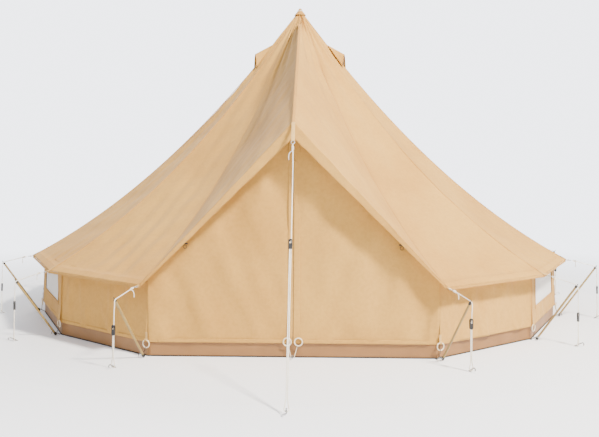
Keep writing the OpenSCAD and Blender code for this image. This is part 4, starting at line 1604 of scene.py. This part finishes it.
SIDE_ROUTE = [
    (0.160, 0, 0.541), (0.180, 0.001, 0.536), (0.220, 0.003, 0.526), (0.280, 0.006, 0.511),
    (0.330, 0.0083, 0.499), (0.352, 0.0083, 0.4935), (0.364, 0.0083, 0.490),
    (0.372, 0.0083, 0.486), (0.378, 0.0083, 0.480), (0.381, 0.0083, 0.470),
    (0.3815, 0.0083, 0.450), (0.382, 0.0065, 0.425), (0.383, 0.0045, 0.395),
    (0.3885, 0.0045, 0.245), (0.394, 0.0045, 0.100), (0.3945, 0.0055, 0.075),
    (0.395, 0.009, 0.052), (0.395, 0.0128, 0.035), (0.395, 0.014, 0.020),
    (0.395, 0.012, 0.013), (0.395, 0.007, 0.008), (0.395, 0, 0.006),
]
FRONT_ROUTE = [
    (0.023, 0, 1.577), (0.040, 0.001, 1.553), (0.080, 0.003, 1.495), (0.140, 0.0045, 1.409),
    (0.220, 0.0045, 1.294), (0.400, 0.0045, 1.036), (0.600, 0.0045, 0.749),
    (0.800, 0.0045, 0.461), (0.950, 0.0045, 0.246), (1.040, 0.0045, 0.117),
    (1.065, 0.006, 0.081), (1.083, 0.010, 0.055), (1.092, 0.013, 0.042),
    (1.098, 0.014, 0.033), (1.102, 0.012, 0.027), (1.105, 0.0073, 0.023),
    (1.106, 0, 0.0215),
]
RUNNER_Z = [925, 335, 235, 270, 300, 270, 270, 270, 270, 270, 300, 250, 290, 270]
# The straight leg that a runner sits on: a point's distance out and height, then its run and fall.
FRONT_LEG = (0.140, 1.409, 200, 287.1)
SIDE_LEG = (0.383, 0.395, 11, 295)


@dataclass
class Guylines(Assembly):
    """The ropes from the eave rings to the pegs, with their knots."""

    diameter: float = 0.007
    tail: float = 0.014
    aside: float = 0.0045
    spacing: float = 0.004
    hitch_r: float = 0.0058
    hitch_turns: float = 3.4
    hitch_long: float = 0.026
    hitch_wire: float = 0.0032
    tail_wire: float = 0.0031
    tail_drop: float = 0.052

    def route(self, k: int) -> Array:
        """Points down one rope, round its peg and back up to its runner.

        Args:
            k: the seam the rope hangs from.
        Returns:
            Points in metres.
        """
        route = FRONT_ROUTE if k == 0 else SIDE_ROUTE
        z = RUNNER_Z[k] / 1000 + self.tail
        start, top, run, fall = FRONT_LEG if k == 0 else SIDE_LEG
        out = start + (top - z) * run / fall
        lowest = route[-1][2]
        back = [
            (p[0], -p[1], p[2])
            for p in reversed(route)
            if lowest < p[2] < z - 0.030
        ]
        whole = list(route) + back + [(out, -self.aside, z)]
        return np.array([tuple(radial(SHAPE.base_r + o, k, h, s)) for o, s, h in whole])

    def build(self) -> None:
        """Makes the ropes."""
        for k, spot in enumerate(SPOTS):
            line = resample(self.route(k), self.spacing)
            rope = sweep(f"guy_rope_{spot}", line, self.diameter / 2, 12, 3, 0.022)
            self.keep(rope, Finish.ROPE)
            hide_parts(f"guyline_{spot}")
            knots = self._knots(k, spot, line)

    def _knots(self, k: int, spot: str, line: Array) -> list[bpy.types.Object]:
        """The hitch below the ring and its tail."""
        made = []
        big = 1.25 if k == 0 else 1.0
        first = 3 if k else 4
        _, s, b = frames_along(line)
        span = int(round(self.hitch_long * big / self.spacing))
        turns = np.linspace(0, 1, 70)
        spine = np.stack(
            [np.interp(first + turns * span, np.arange(len(line)), line[:, i]) for i in range(3)], 1
        )
        angle = turns * 2 * math.pi * self.hitch_turns
        i = first + span // 2
        coil = spine + self.hitch_r * (
            np.cos(angle)[:, None] * s[i] + np.sin(angle)[:, None] * b[i]
        )
        coil_line = resample(coil, 0.0025)
        hitch = sweep(f"guy_hitch_{spot}", coil_line, self.hitch_wire, 10, 3, 0.02)
        made.append(self.keep(hitch, Finish.ROPE))
        a = k * STEP
        way = np.array([math.cos(a), math.sin(a), 0.0])
        end = coil[-1]
        drop = self.tail_drop * big
        lean = -1.0 if k % 2 == 0 else 1.0
        tail = np.array(
            [
                end,
                end + way * lean * 0.010 + [0, 0, -0.004],
                end + way * lean * 0.021 * big + [0, 0, -drop * 0.3],
                end + way * lean * 0.025 * big + [0, 0, -drop * 0.65],
                end + way * lean * 0.024 * big + [0, 0, -drop],
            ]
        )
        tail_line = resample(tail, 0.003)
        end_piece = sweep(f"guy_tail_{spot}", tail_line, self.tail_wire, 10, 3, 0.02)
        made.append(self.keep(end_piece, Finish.ROPE))
        return made


@dataclass
class Hardware(Assembly):
    """Poles, caps, pegs, runners and the other hard parts, dressed on the CAD solids."""

    cad: dict[str, bpy.types.Object] = field(default_factory=dict)

    def build(self) -> None:
        """Paints and softens the edges of the solids that stay in view."""
        plan: dict[Finish, list[str]] = {
            Finish.STEEL: [
                "centre_pole_lower", "centre_pole_middle", "centre_pole_upper",
                "door_frame_left", "door_frame_right",
            ],
            Finish.BLACK: [
                "centre_pole_foot", "centre_pole_cap", "door_frame_elbow",
                "door_frame_feet", "side_pole_caps", "door_toggles",
                *[f"tensioner_{s}" for s in SPOTS],
            ],
            Finish.PAINT: ["side_poles"],
            Finish.PEG: ["guy_pegs", "base_pegs"],
            Finish.CREAM: ["door_ring_left", "door_ring_right"],
            Finish.ZIP: ["zip_slider"],
        }
        for finish, names in plan.items():
            for name in names:
                obj = self.cad[name]
                self.palette.paint(obj, finish)
                for face in obj.data.polygons:
                    face.use_smooth = True
                edge = obj.modifiers.new("soft_edges", "BEVEL")
                edge.width = 0.0008
                edge.segments = 2
                edge.limit_method = "ANGLE"
                edge.angle_limit = math.radians(35)
                edge.harden_normals = False
                LOG.info("%s painted %s", name, finish.name)


# ---------- Stage ----------


@dataclass(frozen=True)
class Lamp:
    """A soft square light that faces the tent."""

    name: str
    place: tuple[float, float, float]
    size: float
    power: float
    code: str

    def build(self) -> None:
        """Hangs the light and turns it to the tent's middle."""
        data = bpy.data.lights.new(self.name, "AREA")
        data.shape = "SQUARE"
        data.size = self.size
        data.energy = self.power
        data.color = linear(self.code)[:3]
        obj = bpy.data.objects.new(self.name, data)
        obj.location = self.place
        aim = Vector((0, 0, 1.0)) - Vector(self.place)
        obj.rotation_euler = aim.to_track_quat("-Z", "Y").to_euler()
        bpy.context.scene.collection.objects.link(obj)


@dataclass(frozen=True)
class Studio:
    """Floor, light and camera."""

    floor: str = "#F4F5F7"
    floor_reach: float = 60.0
    floor_fades: tuple[float, float] = (3.4, 6.5)
    sky: str = "#EEF1F9"
    glow: float = 4.6
    ambient: float = 0.95
    ambient_low: float = 0.35
    ambient_high: float = 1.5
    ambient_top: float = 0.9
    lamps: tuple[Lamp, ...] = (
        Lamp("key", (5.6, -6.6, 9.4), 1.3, 4300.0, "#FFF8EE"),
        Lamp("fill", (-5.0, -8.0, 5.0), 6.0, 120.0, "#FFFFFF"),
        Lamp("back", (-3.0, 9.5, 7.0), 4.0, 900.0, "#FFFFFF"),
    )
    eye: tuple[float, float, float] = (0.15, -8.07, 1.46)
    lens_mm: float = 47.6
    sensor_mm: float = 36.0
    sees_to: float = 200.0
    pan: float = 0.0181
    tilt_down: float = 0.0721
    roll: float = 0.0053

    def build(self) -> None:
        """Sets the stage up."""
        scene = bpy.context.scene
        x = self.floor_reach
        points = np.array([[-x, -x, 0], [x, -x, 0], [x, x, 0], [-x, x, 0]])
        plane = mesh_of("studio_floor", points, [[0, 1, 2, 3]])
        plane.data.materials.append(self._ground())
        scene.world = self._world()
        for lamp in self.lamps:
            lamp.build()
        self._camera(scene)

    def _ground(self) -> bpy.types.Material:
        """White floor that passes into the backdrop's own light away from the tent."""
        s = Shader("studio_floor")
        far = s.add("ShaderNodeVectorMath", {0: s.coords()}, operation="LENGTH").outputs["Value"]
        near, away = self.floor_fades
        share = s.add(
            "ShaderNodeMapRange", {"Value": far}, {"From Min": near, "From Max": away}
        ).outputs[0]
        colour = s.add("ShaderNodeRGB")
        colour.outputs[0].default_value = linear(self.floor)
        made = s.finish(colour.outputs[0], 0.95)
        glow = s.add(
            "ShaderNodeEmission",
            values={"Color": linear(self.sky), "Strength": self.glow},
        )
        seen = s.add("ShaderNodeLightPath").outputs["Is Camera Ray"]
        share = s.add(
            "ShaderNodeMath", {0: share, 1: seen}, operation="MULTIPLY"
        ).outputs[0]
        mix = s.add(
            "ShaderNodeMixShader", {0: share, 1: s.bsdf.outputs[0], 2: glow.outputs[0]}
        )
        s.tree.links.new(mix.outputs[0], s.tree.nodes["Material Output"].inputs[0])
        return made

    def _world(self) -> bpy.types.World:
        """Soft light all round, behind it the pale backdrop that the camera sees."""
        world = bpy.data.worlds.new("studio")
        world.use_nodes = True
        tree = world.node_tree
        back = tree.nodes["Background"]
        back.inputs["Color"].default_value = linear(self.sky)
        place = tree.nodes.new("ShaderNodeTexCoord")
        parts = tree.nodes.new("ShaderNodeSeparateXYZ")
        tree.links.new(place.outputs["Generated"], parts.inputs[0])
        height = tree.nodes.new("ShaderNodeMapRange")
        height.inputs["From Min"].default_value = 0.0
        height.inputs["From Max"].default_value = self.ambient_top
        height.inputs["To Min"].default_value = self.ambient * self.ambient_low
        height.inputs["To Max"].default_value = self.ambient * self.ambient_high
        tree.links.new(parts.outputs["Z"], height.inputs["Value"])
        tree.links.new(height.outputs[0], back.inputs["Strength"])
        seen = tree.nodes.new("ShaderNodeBackground")
        seen.inputs["Color"].default_value = linear(self.sky)
        seen.inputs["Strength"].default_value = self.glow
        rays = tree.nodes.new("ShaderNodeLightPath")
        mix = tree.nodes.new("ShaderNodeMixShader")
        tree.links.new(rays.outputs["Is Camera Ray"], mix.inputs[0])
        tree.links.new(back.outputs[0], mix.inputs[1])
        tree.links.new(seen.outputs[0], mix.inputs[2])
        tree.links.new(mix.outputs[0], tree.nodes["World Output"].inputs[0])
        return world

    def _camera(self, scene: bpy.types.Scene) -> None:
        """The camera, at the height of a standing person's chest."""
        data = bpy.data.cameras.new("camera")
        data.lens = self.lens_mm
        data.sensor_width = self.sensor_mm
        data.clip_end = self.sees_to
        data.dof.use_dof = False
        obj = bpy.data.objects.new("camera", data)
        turn = (
            Matrix.Rotation(self.pan, 4, "Z")
            @ Matrix.Rotation(math.pi / 2 - self.tilt_down, 4, "X")
            @ Matrix.Rotation(self.roll, 4, "Z")
        )
        obj.matrix_world = Matrix.Translation(self.eye) @ turn
        scene.collection.objects.link(obj)
        scene.camera = obj


def write_size() -> None:
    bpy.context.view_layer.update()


def main() -> None:
    """Builds the tent."""
    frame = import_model()
    write_size()
    palette = Palette()
    rows = Rows(palette)
    Studio().build()
    Guylines(palette, rows).build()
    roof = Roof(palette, rows)
    roof.build()
    roof.dress()
    Valance(palette, rows).build()
    Wall(palette, rows).build()
    Vents(palette, rows).build()
    for side in Side:
        door = Door(palette, rows, side=side)
        door.build()
        door.dress()
    Corners(palette, rows).build()
    Hardware(palette, rows, cad=frame["nodes"]).build()
    write_size()


if __name__ == "__main__":
    main()
